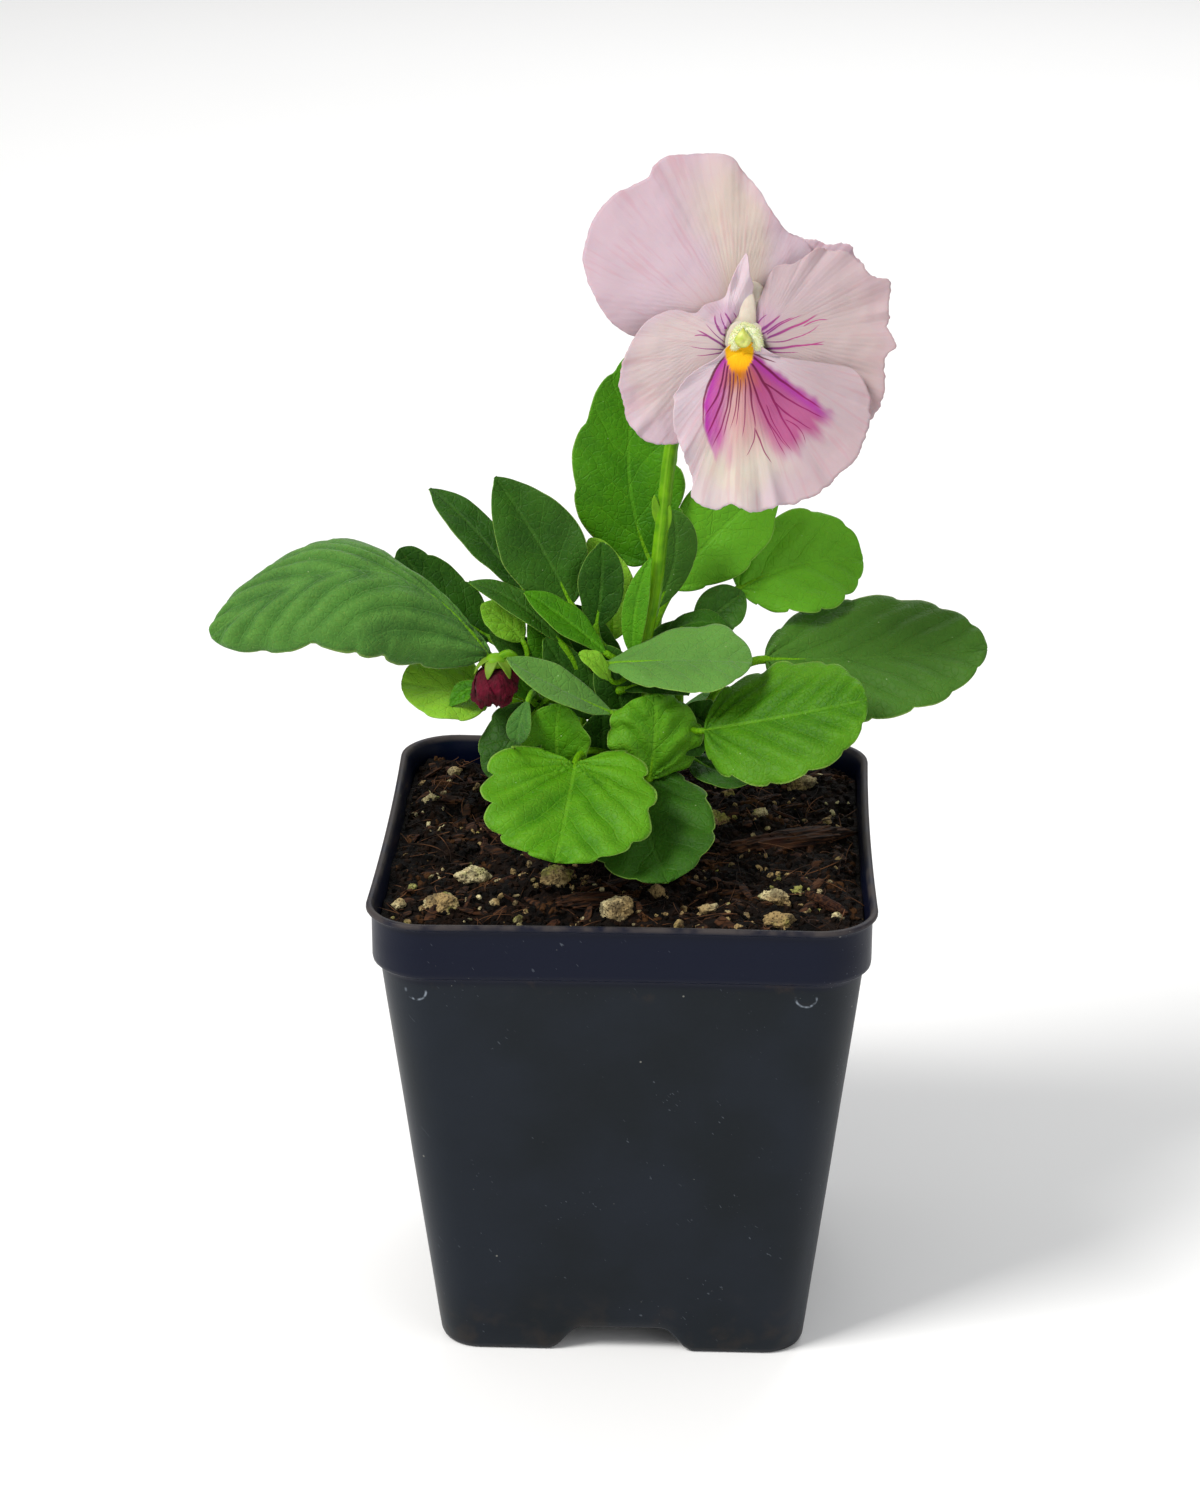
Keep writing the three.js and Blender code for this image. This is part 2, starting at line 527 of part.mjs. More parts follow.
// Petal outlines in the flower's own plane, x to the right and y up from the throat, as the
// photograph shows them; claw is where its blade starts, layer its depth at claw and rim, and seat
// where its narrow neck meets the receptacle.
const PETALS = [
  { name: "petal_upper_left", claw: [-1.4, 5.8], layer: [-1.8, -4.5], seat: [-0.9, 1.4, -7],
    outline: [[-4, 3.6], [-13, 1.6], [-18.8, 1.9], [-23, 4.5], [-26.4, 10], [-27.5, 15], [-25.6, 22],
      [-21.5, 26.2], [-16, 29.2], [-13.2, 32.2], [-8, 32.8], [-2.4, 32.2], [2.4, 26.7], [7, 20],
      [6.5, 13], [1.5, 6]] },
  { name: "petal_upper_right", claw: [2.2, 4.6], layer: [-3.1, -6], seat: [1.1, 1.5, -7],
    outline: [[0.6, 5.8], [3, 14], [6, 19.5], [10.8, 19], [14, 18], [17.6, 17.6], [20, 14.6], [21.5, 9],
      [17, 4.5], [9, 2.5], [2.6, 2.8]] },
  { name: "petal_side_left", claw: [-3.5, 2.8], layer: [-0.5, -1.5], seat: [-1.9, 0, -7.2],
    outline: [[-2.3, 3.2], [1, 8], [0.3, 15.5], [-2.6, 10], [-6.8, 6.8], [-11.8, 5.9], [-15.9, 4.6],
      [-18.8, 1.3], [-21.2, -4], [-20.9, -8.9], [-18.4, -14.9], [-14.4, -16.8], [-8, -15], [-4, -7],
      [-3, 0.8]] },
  { name: "petal_side_right", claw: [4.1, 1.5], layer: [-0.5, -1.8], seat: [2, -0.2, -7.2],
    outline: [[3, 3], [4.2, 9.5], [6.2, 13.4], [11.8, 15.9], [17, 16], [20.5, 13], [24.5, 11.2],
      [25, 6], [24.9, 1], [24.4, -5], [22.2, -13], [18, -15.5], [11, -11], [4.6, -2.5], [3.4, 0.3]] },
  { name: "petal_lip", claw: [0, -2.4], layer: [0.6, 1.2], seat: [0, -2, -6.8],
    outline: [[3.4, -1.9], [11, -3.2], [18.9, -4.6], [21.4, -8.5], [21.4, -14], [18.4, -20],
      [12.1, -25.7], [5.8, -27.7], [0.8, -28.2], [-4.8, -28], [-8.9, -25.5], [-9.8, -19.5],
      [-11.8, -14.5], [-12, -10], [-9, -5], [-3.2, -1.6]] },
];
const PETAL_RINGS = [0.35, 0.7, 1];
const PETAL_RAYS = 24;
const PETAL_CUP = 2; // how far a petal's middle stands behind its rim and claw

function petalOutline(petal) {
  const points = petal.outline.map(([x, y]) => new THREE.Vector3(x, y, 0));
  return new THREE.CatmullRomCurve3(points, true, "centripetal").getSpacedPoints(PETAL_RAYS);
}

// Depth of a petal at a share of the way from its claw to its rim.
function petalDepth(petal, share) {
  const [claw, rim] = petal.layer;
  return THREE.MathUtils.lerp(claw, rim, share) - PETAL_CUP * share * (1 - share);
}

// Front and back skins on rays from the claw, closed round the rim.
function petalSolid(petal, margin) {
  const claw = new THREE.Vector3(...petal.claw, 0);
  const rim = petalOutline(petal).slice(0, PETAL_RAYS);
  const ringAt = (share, offset) =>
    rim.map((p) => {
      const grown = share + margin / p.distanceTo(claw);
      const q = claw.clone().lerp(p, grown);
      return q.setZ(petalDepth(petal, share) + offset);
    });
  const thickness = PETAL_HALF_THICKNESS + margin;
  const [x, y] = petal.claw;
  const neck = new THREE.CatmullRomCurve3([
    new THREE.Vector3(x, y, petal.layer[0]),
    new THREE.Vector3(...petal.seat),
  ]);
  const front = PETAL_RINGS.map((share) => ringAt(share, thickness));
  const back = PETAL_RINGS.map((share) => ringAt(share, -thickness));
  return loft([...front, ...back.reverse()]).add(rod(neck, NECK_RADIUS, NECK_RADIUS, margin, 1, 6));
}

// The lip's spur runs back from its claw and droops a little.
function spurSolid(margin) {
  const curve = new THREE.CatmullRomCurve3(
    [[0, -2.8, 0.6], [0, -3.6, -3], [0, -4.4, -6.5], [0, -5.4, -9.5]].map(vector),
  );
  return rod(curve, 1.3, 1, margin, 4);
}

function lipSolid(petal, margin) {
  return petalSolid(petal, margin).add(spurSolid(margin));
}

// Style and stigma: a short green club that leans out of the throat.
function pistilSolid(margin) {
  const curve = new THREE.CatmullRomCurve3(
    [[0.3, 0.6, -6.2], [0.4, 1.2, -2], [0.3, 0.9, 1.2]].map(vector),
  );
  const style = rod(curve, 0.7, 0.8, margin, 4);
  const knob = new THREE.IcosahedronGeometry(1.4 + margin, 0);
  knob.translate(0.3, 0.7, 1.9);
  return style.add(solidOf(knob));
}

const SEPAL_TURNS = [90, 162, 18, 234, 306];
const SEPAL_LENGTH = 9;
const SEPAL_PROFILE = [[0, 1.4], [0.3, 2], [0.6, 1.6], [0.85, 0.9], [1, 0.3]]; // share, half width
const RECEPTACLE = [0, -0.5, -8.5];

// Receptacle with five pointed sepals that lie against the backs of the petals.
function calyxSolid() {
  const centre = vector(RECEPTACLE);
  const receptacle = new THREE.IcosahedronGeometry(2.6, 0);
  receptacle.translate(...RECEPTACLE);
  const parts = SEPAL_TURNS.map((turn) => {
    const way = new THREE.Vector3(Math.cos(radians(turn)), Math.sin(radians(turn)), 0);
    const face = new THREE.Vector3(0, 0, 1);
    const rings = SEPAL_PROFILE.map(([share, half]) => {
      const middle = centre.clone().addScaledVector(way, share * SEPAL_LENGTH);
      middle.z -= 0.6 * share;
      return leafRing(6, middle, way, face, half, 0.45, 0, 0);
    });
    return loft(rings);
  });
  return parts.reduce((whole, part) => whole.add(part), solidOf(receptacle));
}

const flowerFrame = new THREE.Group();
flowerFrame.position.set(...THROAT);
flowerFrame.rotation.set(radians(90 - FLOWER_TILT), 0, radians(FLOWER_TURN), "ZXY");
flowerFrame.updateMatrixWorld(true);

// The stalk rises from the stem's top and hooks over to the back of the calyx.
function stalkPoints() {
  const hook = [[-3, 3.6, -15.5], [-0.4, 3.4, -14.2], [0, 1.2, -11.6]];
  const inPlant = hook.map((p) => flowerFrame.localToWorld(vector(p)));
  return [[2.8, 0.4, 123.5], [3, 0, 127], [4.4, 0, 134], [5.8, 0, 147.5], [7.5, 0.5, 163], [11, 4, 177]]
    .map(vector)
    .concat(inPlant);
}

function flowerStalkSolid(margin) {
  const curve = new THREE.CatmullRomCurve3(stalkPoints());
  return rod(curve, STALK_RADIUS, STALK_RADIUS - 0.2, margin, 14);
}

// ---- Bud ----

const BUD_TOP = [-22.5, -7, 123];
const BUD_TIP = [-23, -8, 116];
// Share of its length and half width there.
const BUD_PROFILE = [[0, 1.6], [0.15, 3.2], [0.4, 4.1], [0.65, 3.8], [0.88, 2.4], [1, 1]];
const BUD_DEPTH = 0.8; // its depth over its width
const BUD_SIDES = 10;

function budPetalsSolid(margin) {
  const top = vector(BUD_TOP);
  const axis = vector(BUD_TIP).sub(top);
  const across = new THREE.Vector3(1, 0, 0);
  const forward = new THREE.Vector3(0, 1, 0);
  const rings = BUD_PROFILE.map(([share, size]) => {
    const ring = [];
    for (let k = 0; k < BUD_SIDES; k++) {
      const angle = (2 * Math.PI * k) / BUD_SIDES;
      ring.push(
        top.clone()
          .addScaledVector(axis, share)
          .addScaledVector(across, (size + margin) * Math.cos(angle))
          .addScaledVector(forward, (size * BUD_DEPTH + margin) * Math.sin(angle)),
      );
    }
    return ring;
  });
  return loft(rings);
}

// Cap over the bud with pointed sepals, on its own short stalk from the left shoot.
function budCalyxSolid() {
  const top = vector(BUD_TOP);
  const stalk = new THREE.CatmullRomCurve3(
    [[-16.5, -2, 116], [-18.5, -5, 122], [-21, -7, 126], [-22.5, -7, 124.2]].map(vector),
  );
  const cap = new THREE.IcosahedronGeometry(1.9, 0);
  cap.translate(top.x, top.y, top.z + 1.2);
  const sepals = [250, 310, 10, 130, 190].map((turn) => {
    const outward = new THREE.Vector3(Math.cos(radians(turn)), Math.sin(radians(turn)) * BUD_DEPTH, 0);
    const curve = new THREE.CatmullRomCurve3([
      top.clone().add(new THREE.Vector3(0, 0, 1.4)),
      top.clone().addScaledVector(outward, 3.6).add(new THREE.Vector3(0, 0, 0.2)),
      top.clone().addScaledVector(outward, 5.2).add(new THREE.Vector3(0, 0, -3.4)),
    ]);
    return rod(curve, 0.9, 0.5, 0, 3, 5);
  });
  const body = rod(stalk, 0.8, 0.8, 0, 6, 6).add(solidOf(cap));
  return sepals.reduce((whole, part) => whole.add(part), body);
}

// ---- Materials ----

const COLOURS = {
  pot: { color: 0x22272f, roughness: 0.38 },
  mix: { color: 0x19120c, roughness: 0.95 },
  cream: { color: 0xc8be96, roughness: 0.9 },
  tan: { color: 0xaa966e, roughness: 0.9 },
  moss: { color: 0x78822f, roughness: 0.9 },
  bark: { color: 0x462d1c, roughness: 0.85 },
  stem: { color: 0x69a51e, roughness: 0.5 },
  dark: { color: 0x305f2d, roughness: 0.5 },
  mid: { color: 0x3c8223, roughness: 0.5 },
  bright: { color: 0x4b9623, roughness: 0.5 },
  grey: { color: 0x5f964b, roughness: 0.55 },
  pale: { color: 0x7fae45, roughness: 0.5 },
  petal: { color: 0xd6c0cd, roughness: 0.6 },
  pistil: { color: 0xc9d48a, roughness: 0.5 },
  bud: { color: 0x5f142d, roughness: 0.6 },
};

function materialOf(tone) {
  return new THREE.MeshStandardMaterial({ ...COLOURS[tone], metalness: 0 });
}

// ---- Assembly ----

const group = new THREE.Group();
const object = new THREE.Group();
const plant = new THREE.Group();
const flower = new THREE.Group();
object.position.set(...PLACE);
flower.position.copy(flowerFrame.position);
flower.rotation.copy(flowerFrame.rotation);
plant.add(flower);
object.add(plant);
group.add(object);

function place(parent, name, solid, tone) {
  const mesh = new THREE.Mesh(geometryOf(solid.simplify(SLIVER)), materialOf(tone));
  mesh.name = name;
  parent.add(mesh);
}

// Clearance shapes of the plant pieces already placed; each new piece is cut back from them.
const clearances = [];

function clearOf(solid, shapes) {
  return largest(shapes.reduce((rest, shape) => rest.subtract(shape), solid));
}

function placeInPlant(name, solid, clearance, tone) {
  place(plant, name, clearOf(solid, clearances), tone);
  clearances.push(clearance);
}

function placePot() {
  place(object, "pot", makePot(), "pot");
}

function placeMix() {
  const seats = LUMPS.map((lump) => lumpSolid(lump, GAP));
  const mix = clearOf(mixBlock(), [stemSolid(GAP), ...seats]);
  place(object, "potting_mix", mix, "mix");
  for (const lump of LUMPS) {
    place(object, lump.name, lumpSolid(lump, 0), lump.tone);
  }
}

function placePlant() {
  placeInPlant("stem_with_roots", stemSolid(0), stemSolid(GAP), "stem");
  placeInPlant("flower_stalk", flowerStalkSolid(0), flowerStalkSolid(GAP), "stem");
  placeInPlant("bud_petals", budPetalsSolid(0), budPetalsSolid(GAP), "bud");
  placeInPlant("bud_calyx", budCalyxSolid(), budCalyxSolid(), "stem");
  for (const shape of LEAVES) {
    placeInPlant(shape.name, leafSolid(shape, 0), leafSolid(shape, GAP), shape.tone);
  }
}

function placeFlower() {
  const lip = PETALS.find((petal) => petal.name === "petal_lip");
  place(flower, lip.name, lipSolid(lip, 0), "petal");
  const placed = [lipSolid(lip, GAP)];
  for (const petal of PETALS.filter((each) => each !== lip).reverse()) {
    place(flower, petal.name, clearOf(petalSolid(petal, 0), placed), "petal");
    placed.push(petalSolid(petal, GAP));
  }
  place(flower, "pistil", clearOf(pistilSolid(0), placed), "pistil");
  placed.push(pistilSolid(GAP));
  place(flower, "flower_calyx", clearOf(calyxSolid(), placed), "stem");
}

placePot();
placeMix();
placePlant();
placeFlower();

export default group;
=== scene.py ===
"""A pansy in a square nursery pot: its visible surfaces and the stage they are shown on."""

import itertools
import math

import bmesh
import bpy
import numpy as np
from mathutils import Matrix, Vector


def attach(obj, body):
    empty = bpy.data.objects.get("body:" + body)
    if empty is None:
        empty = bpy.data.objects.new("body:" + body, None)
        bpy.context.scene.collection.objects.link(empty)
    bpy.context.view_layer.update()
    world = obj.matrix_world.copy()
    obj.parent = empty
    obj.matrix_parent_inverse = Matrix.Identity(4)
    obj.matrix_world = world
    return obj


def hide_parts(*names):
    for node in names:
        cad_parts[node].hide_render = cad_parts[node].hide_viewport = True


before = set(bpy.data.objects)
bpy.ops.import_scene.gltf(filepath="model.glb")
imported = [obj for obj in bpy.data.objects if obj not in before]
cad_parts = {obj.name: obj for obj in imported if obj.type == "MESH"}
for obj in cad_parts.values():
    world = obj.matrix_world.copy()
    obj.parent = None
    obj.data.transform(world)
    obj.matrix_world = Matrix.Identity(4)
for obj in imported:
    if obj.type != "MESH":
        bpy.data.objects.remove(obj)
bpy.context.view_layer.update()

bl_info = {
    "name": "Potted Pansy",
    "version": (1, 0, 0),
    "blender": (4, 5, 0),
    "location": "3D View > Sidebar > Pansy",
    "description": "Builds a flowering pansy in a square nursery pot around its solid parts",
    "category": "Add Mesh",
}

MM = 0.001  # every shape is worked out in millimetres and stored in metres
PLACE = (4.81, 0, 0)  # from the middle of the pot's base, where shapes are worked out, to their place
BODY = "root"


def tint(red, green, blue):
    """Linear colour from 0-255 screen values."""
    return tuple(round((value / 255) ** 2.2, 4) for value in (red, green, blue))


def colour_setting(name, description, colour):
    """Colour property for a group of settings."""
    return bpy.props.FloatVectorProperty(
        name=name, description=description, default=colour, size=3, min=0, max=1, subtype="COLOR")


def count_setting(name, description, number):
    return bpy.props.IntProperty(name=name, description=description, default=number, min=0)


def in_metres(millimetres):
    return tuple(value * MM for value in millimetres)


# ---- Curves and noise ----


def unit(vectors):
    return vectors / np.maximum(np.linalg.norm(vectors, axis=-1, keepdims=True), 1e-9)


def blend(low, high, share):
    return low + (high - low) * share


def smooth(low, high, value):
    share = np.clip((value - low) / (high - low), 0, 1)
    return share * share * (3 - 2 * share)


def respaced(points, count, radii=None):
    """The same path with evenly spaced points; radii that go with them come out as a last column."""
    steps = np.linalg.norm(np.diff(points, axis=0), axis=1)
    along = np.concatenate([[0], np.cumsum(steps)])
    wanted = np.linspace(0, along[-1], count)
    columns = points.T if radii is None else [*points.T, radii]
    return np.stack([np.interp(wanted, along, column) for column in columns], axis=1)


def respaced_ring(points, count):
    """Evenly spaced points of a closed outline."""
    return respaced(np.vstack([points, points[:1]]), count + 1)[:-1]


def smooth_curve(points, count, closed=False):
    """Evenly spaced points on the centripetal Catmull-Rom curve through the given points."""
    points = np.asarray(points, float)
    if closed:
        ends = np.vstack([points[-1:], points, points[:2]])
    else:
        ends = np.vstack([2 * points[:1] - points[1:2], points, 2 * points[-1:] - points[-2:-1]])
    share = np.linspace(0, 1, 32, endpoint=False)[:, None]
    runs = []
    for p0, p1, p2, p3 in zip(ends, ends[1:], ends[2:], ends[3:]):
        d0, d1, d2 = (np.linalg.norm(b - a) ** 0.5 for a, b in ((p0, p1), (p1, p2), (p2, p3)))
        start = d1 * ((p1 - p0) / d0 - (p2 - p0) / (d0 + d1) + (p2 - p1) / d1)
        end = d1 * ((p2 - p1) / d1 - (p3 - p1) / (d1 + d2) + (p3 - p2) / d2)
        square = 3 * (p2 - p1) - 2 * start - end
        cube = 2 * (p1 - p2) + start + end
        runs.append(p1 + start * share + square * share**2 + cube * share**3)
    runs.append(points[:1] if closed else points[-1:])
    return respaced(np.vstack(runs), count)


def bezier(controls, share):
    """Points on a Bezier curve of any degree."""
    points = [np.asarray(p, float) for p in controls]
    share = np.asarray(share, float)[..., None]
    while len(points) > 1:
        points = [blend(a, b, share) for a, b in zip(points, points[1:])]
    return points[0]


def tangents(points):
    return unit(np.gradient(points, axis=0))


NOISE_SIZE = 4096


def noise(points, seed=0):
    """Smooth noise from -1 to 1 at points of any number of dimensions."""
    table = np.random.default_rng(seed).uniform(-1, 1, NOISE_SIZE)
    cell = np.floor(points).astype(np.int64)
    part = points - cell
    weight = part * part * (3 - 2 * part)
    primes = np.array([73856093, 19349663, 83492791])[: points.shape[-1]]
    total = np.zeros(points.shape[:-1])
    for corner in itertools.product((0, 1), repeat=points.shape[-1]):
        share = np.prod(np.where(corner, weight, 1 - weight), axis=-1)
        total += share * table[((cell + corner) @ primes) % NOISE_SIZE]
    return total


def rough(points, size, octaves, seed=0):
    """Noise with finer and finer detail; size is that of its largest lumps."""
    total = 0
    for k in range(octaves):
        total = total + noise(points * (2**k / size), seed + k) / 2**k
    return total


def grid_of(*values):
    """Grid of vectors whose parts change along its rows, its columns or both."""
    return np.stack(np.broadcast_arrays(*values), axis=-1)


def grid_normal(surface):
    return unit(np.cross(np.gradient(surface, axis=1), np.gradient(surface, axis=0)))


def blade_ways(path, face):
    """Ways along a blade's middle line, across to its right and up from its face."""
    way = tangents(path)
    side = unit(np.cross(way, unit(np.asarray(face, float))))
    return way, side, unit(np.cross(side, way))


# ---- Meshes ----


class Shell:
    """Vertices, faces and surface layers of one piece, put together from closed shells."""

    def __init__(self, *shapes):
        """Starts with shapes that are (vertices, faces) each."""
        self.vertices, self.faces, self.layers = [], [], {}
        self.count = 0
        for shape in shapes:
            self.add(*shape)

    def add(self, vertices, faces, **layers):
        """A closed shell. Each layer is one value or vector, or one for every vertex."""
        vertices = np.asarray(vertices, float).reshape(-1, 3)
        self.vertices.append(vertices)
        self.faces += [[i + self.count for i in face] for face in faces]
        for name, values in layers.items():
            values = np.asarray(values, float)
            width = values.shape[-1:] if values.shape[-1:] == (3,) else ()
            full = np.broadcast_to(values, (len(vertices), *width))
            self.layers.setdefault(name, []).append(full)
        self.count += len(vertices)

    def object(self, name, material):
        mesh = bpy.data.meshes.new(name)
        mesh.from_pydata(((np.vstack(self.vertices) + PLACE) * MM).tolist(), [], self.faces)
        for layer, runs in self.layers.items():
            values = np.concatenate(runs)
            kind, field = ("FLOAT_VECTOR", "vector") if values.ndim > 1 else ("FLOAT", "value")
            attribute = mesh.attributes.new(layer, kind, "POINT")
            attribute.data.foreach_set(field, values.astype(np.float32).ravel())
        mesh.polygons.foreach_set("use_smooth", [True] * len(mesh.polygons))
        mesh.materials.append(material)
        mesh.update()
        piece = bpy.data.objects.new(name, mesh)
        bpy.context.scene.collection.objects.link(piece)
        return piece


def settle(piece, slot, *nodes):
    """Puts a finished piece on the body and hides the solids that it stands for."""
    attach(piece, BODY)
    if nodes:
        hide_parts(*nodes)
    return piece


def strip_faces(rows, columns):
    """Quads between the rows of a closed tube of points."""
    faces = []
    for row in range(rows - 1):
        for k in range(columns):
            a, b = row * columns + k, row * columns + (k + 1) % columns
            faces.append([a, b, b + columns, a + columns])
    return faces


def loft(rings):
    """Vertices and faces of a closed shell through rings of points, with a pole at each end."""
    rings = np.asarray(rings, float)
    rows, columns = rings.shape[:2]
    vertices = np.vstack([rings.reshape(-1, 3), rings[0].mean(0)[None], rings[-1].mean(0)[None]])
    faces = strip_faces(rows, columns)
    first, last = rows * columns, rows * columns + 1
    top = (rows - 1) * columns
    for k in range(columns):
        after = (k + 1) % columns
        faces += [[first, after, k], [last, top + k, top + after]]
    return vertices, faces


def tube_rings(points, radii, sides, section=None, up=(0, 0, 1)):
    """Rings round a path that don't twist; section scales the radius round each ring."""
    points = np.asarray(points, float)
    along = tangents(points)
    across = np.zeros_like(points)
    reference = np.asarray(up, float)
    for k, way in enumerate(along):
        reference = reference - way * reference.dot(way)
        if np.linalg.norm(reference) < 1e-3:
            reference = np.cross(way, (1.0, 0.0, 0.0))
        reference = reference / np.linalg.norm(reference)
        across[k] = reference
    other = np.cross(along, across)
    angle = np.linspace(0, 2 * np.pi, sides, endpoint=False)[None, :, None]
    size = np.broadcast_to(np.asarray(radii, float), (len(points),))[:, None, None]
    shape = 1 if section is None else section(angle)
    turned = np.cos(angle) * across[:, None] + np.sin(angle) * other[:, None]
    return points[:, None] + turned * size * shape


def rounded_tube(points, radii, sides=12, section=None, up=(0, 0, 1)):
    """A closed tube whose ends are domes."""
    points = np.asarray(points, float)
    radii = np.broadcast_to(np.asarray(radii, float), (len(points),)).copy()
    way = tangents(points)
    dome = np.array([0.97, 0.72, 0.3])
    reach = np.sqrt(1 - dome**2)
    head = points[0] - way[0] * (radii[0] * reach[::-1, None])
    tail = points[-1] + way[-1] * (radii[-1] * reach[:, None])
    path = np.vstack([head, points, tail])
    sizes = np.concatenate([radii[0] * dome[::-1], radii, radii[-1] * dome])
    return loft(tube_rings(path, sizes, sides, section, up))


def sheet_faces(rows, columns):
    """Quads of a thin closed sheet: front grid, back grid and the rim between them."""
    back = rows * columns
    faces = []
    for row in range(rows - 1):
        for column in range(columns - 1):
            a = row * columns + column
            quad = [a, a + 1, a + 1 + columns, a + columns]
            faces += [quad, [i + back for i in reversed(quad)]]
    rim = list(range(columns))
    rim += [row * columns + columns - 1 for row in range(1, rows)]
    rim += [(rows - 1) * columns + k for k in range(columns - 2, -1, -1)]
    rim += [row * columns for row in range(rows - 2, 0, -1)]
    for a, b in zip(rim, rim[1:] + rim[:1]):
        faces.append([b, a, a + back, b + back])
    return faces


def sheet_sides(surface, offset):
    """Vertices of a thin sheet: front grid and back grid, an offset away from its middle."""
    return np.vstack([(surface + offset).reshape(-1, 3), (surface - offset).reshape(-1, 3)])


def disc_faces(rows, columns):
    """Faces of a thin closed disc of rings round a pole: front, back and the rim."""
    back = rows * columns + 1
    pole = rows * columns
    faces = []
    for face in strip_faces(rows, columns):
        a, b, c, d = face
        faces += [[a, d, c, b], [i + back for i in (a, b, c, d)]]
    for k in range(columns):
        after = (k + 1) % columns
        faces += [[pole, k, after], [pole + back, after + back, k + back]]
        a, b = (rows - 1) * columns + k, (rows - 1) * columns + after
        faces.append([b, a, a + back, b + back])
    return faces


def ball(detail):
    """Vertices and faces of a round ball of triangles."""
    work = bmesh.new()
    bmesh.ops.create_icosphere(work, subdivisions=detail, radius=1)
    work.verts.ensure_lookup_table()
    vertices = np.array([v.co for v in work.verts])
    faces = [[v.index for v in face.verts] for face in work.faces]
    work.free()
    return vertices, faces


# ---- Node graphs ----


class Value:
    """A number that changes over a surface; arithmetic on it adds Math nodes."""

    def __init__(self, graph, socket):
        self.graph, self.socket = graph, socket

    def math(self, operation, *others):
        return self.graph.math(operation, self, *others)

    def __add__(self, other):
        return self.math("ADD", other)

    def __sub__(self, other):
        return self.math("SUBTRACT", other)

    def __rsub__(self, other):
        return self.graph.math("SUBTRACT", other, self)

    def __mul__(self, other):
        return self.math("MULTIPLY", other)

    def __truediv__(self, other):
        return self.math("DIVIDE", other)

    def __pow__(self, other):
        return self.math("POWER", other)

    __radd__ = __add__
    __rmul__ = __mul__

    def step(self, low, high):
        """0 below low, 1 above high and smooth between."""
        sockets = {"Value": self, "From Min": low, "From Max": high}
        node = self.graph.node("ShaderNodeMapRange", sockets, interpolation_type="SMOOTHSTEP")
        return Value(self.graph, node.outputs[0])

    def near(self, middle, width):
        """1 at a value and 0 from a width away."""
        return 1 - (self - middle).math("ABSOLUTE").step(0, width)


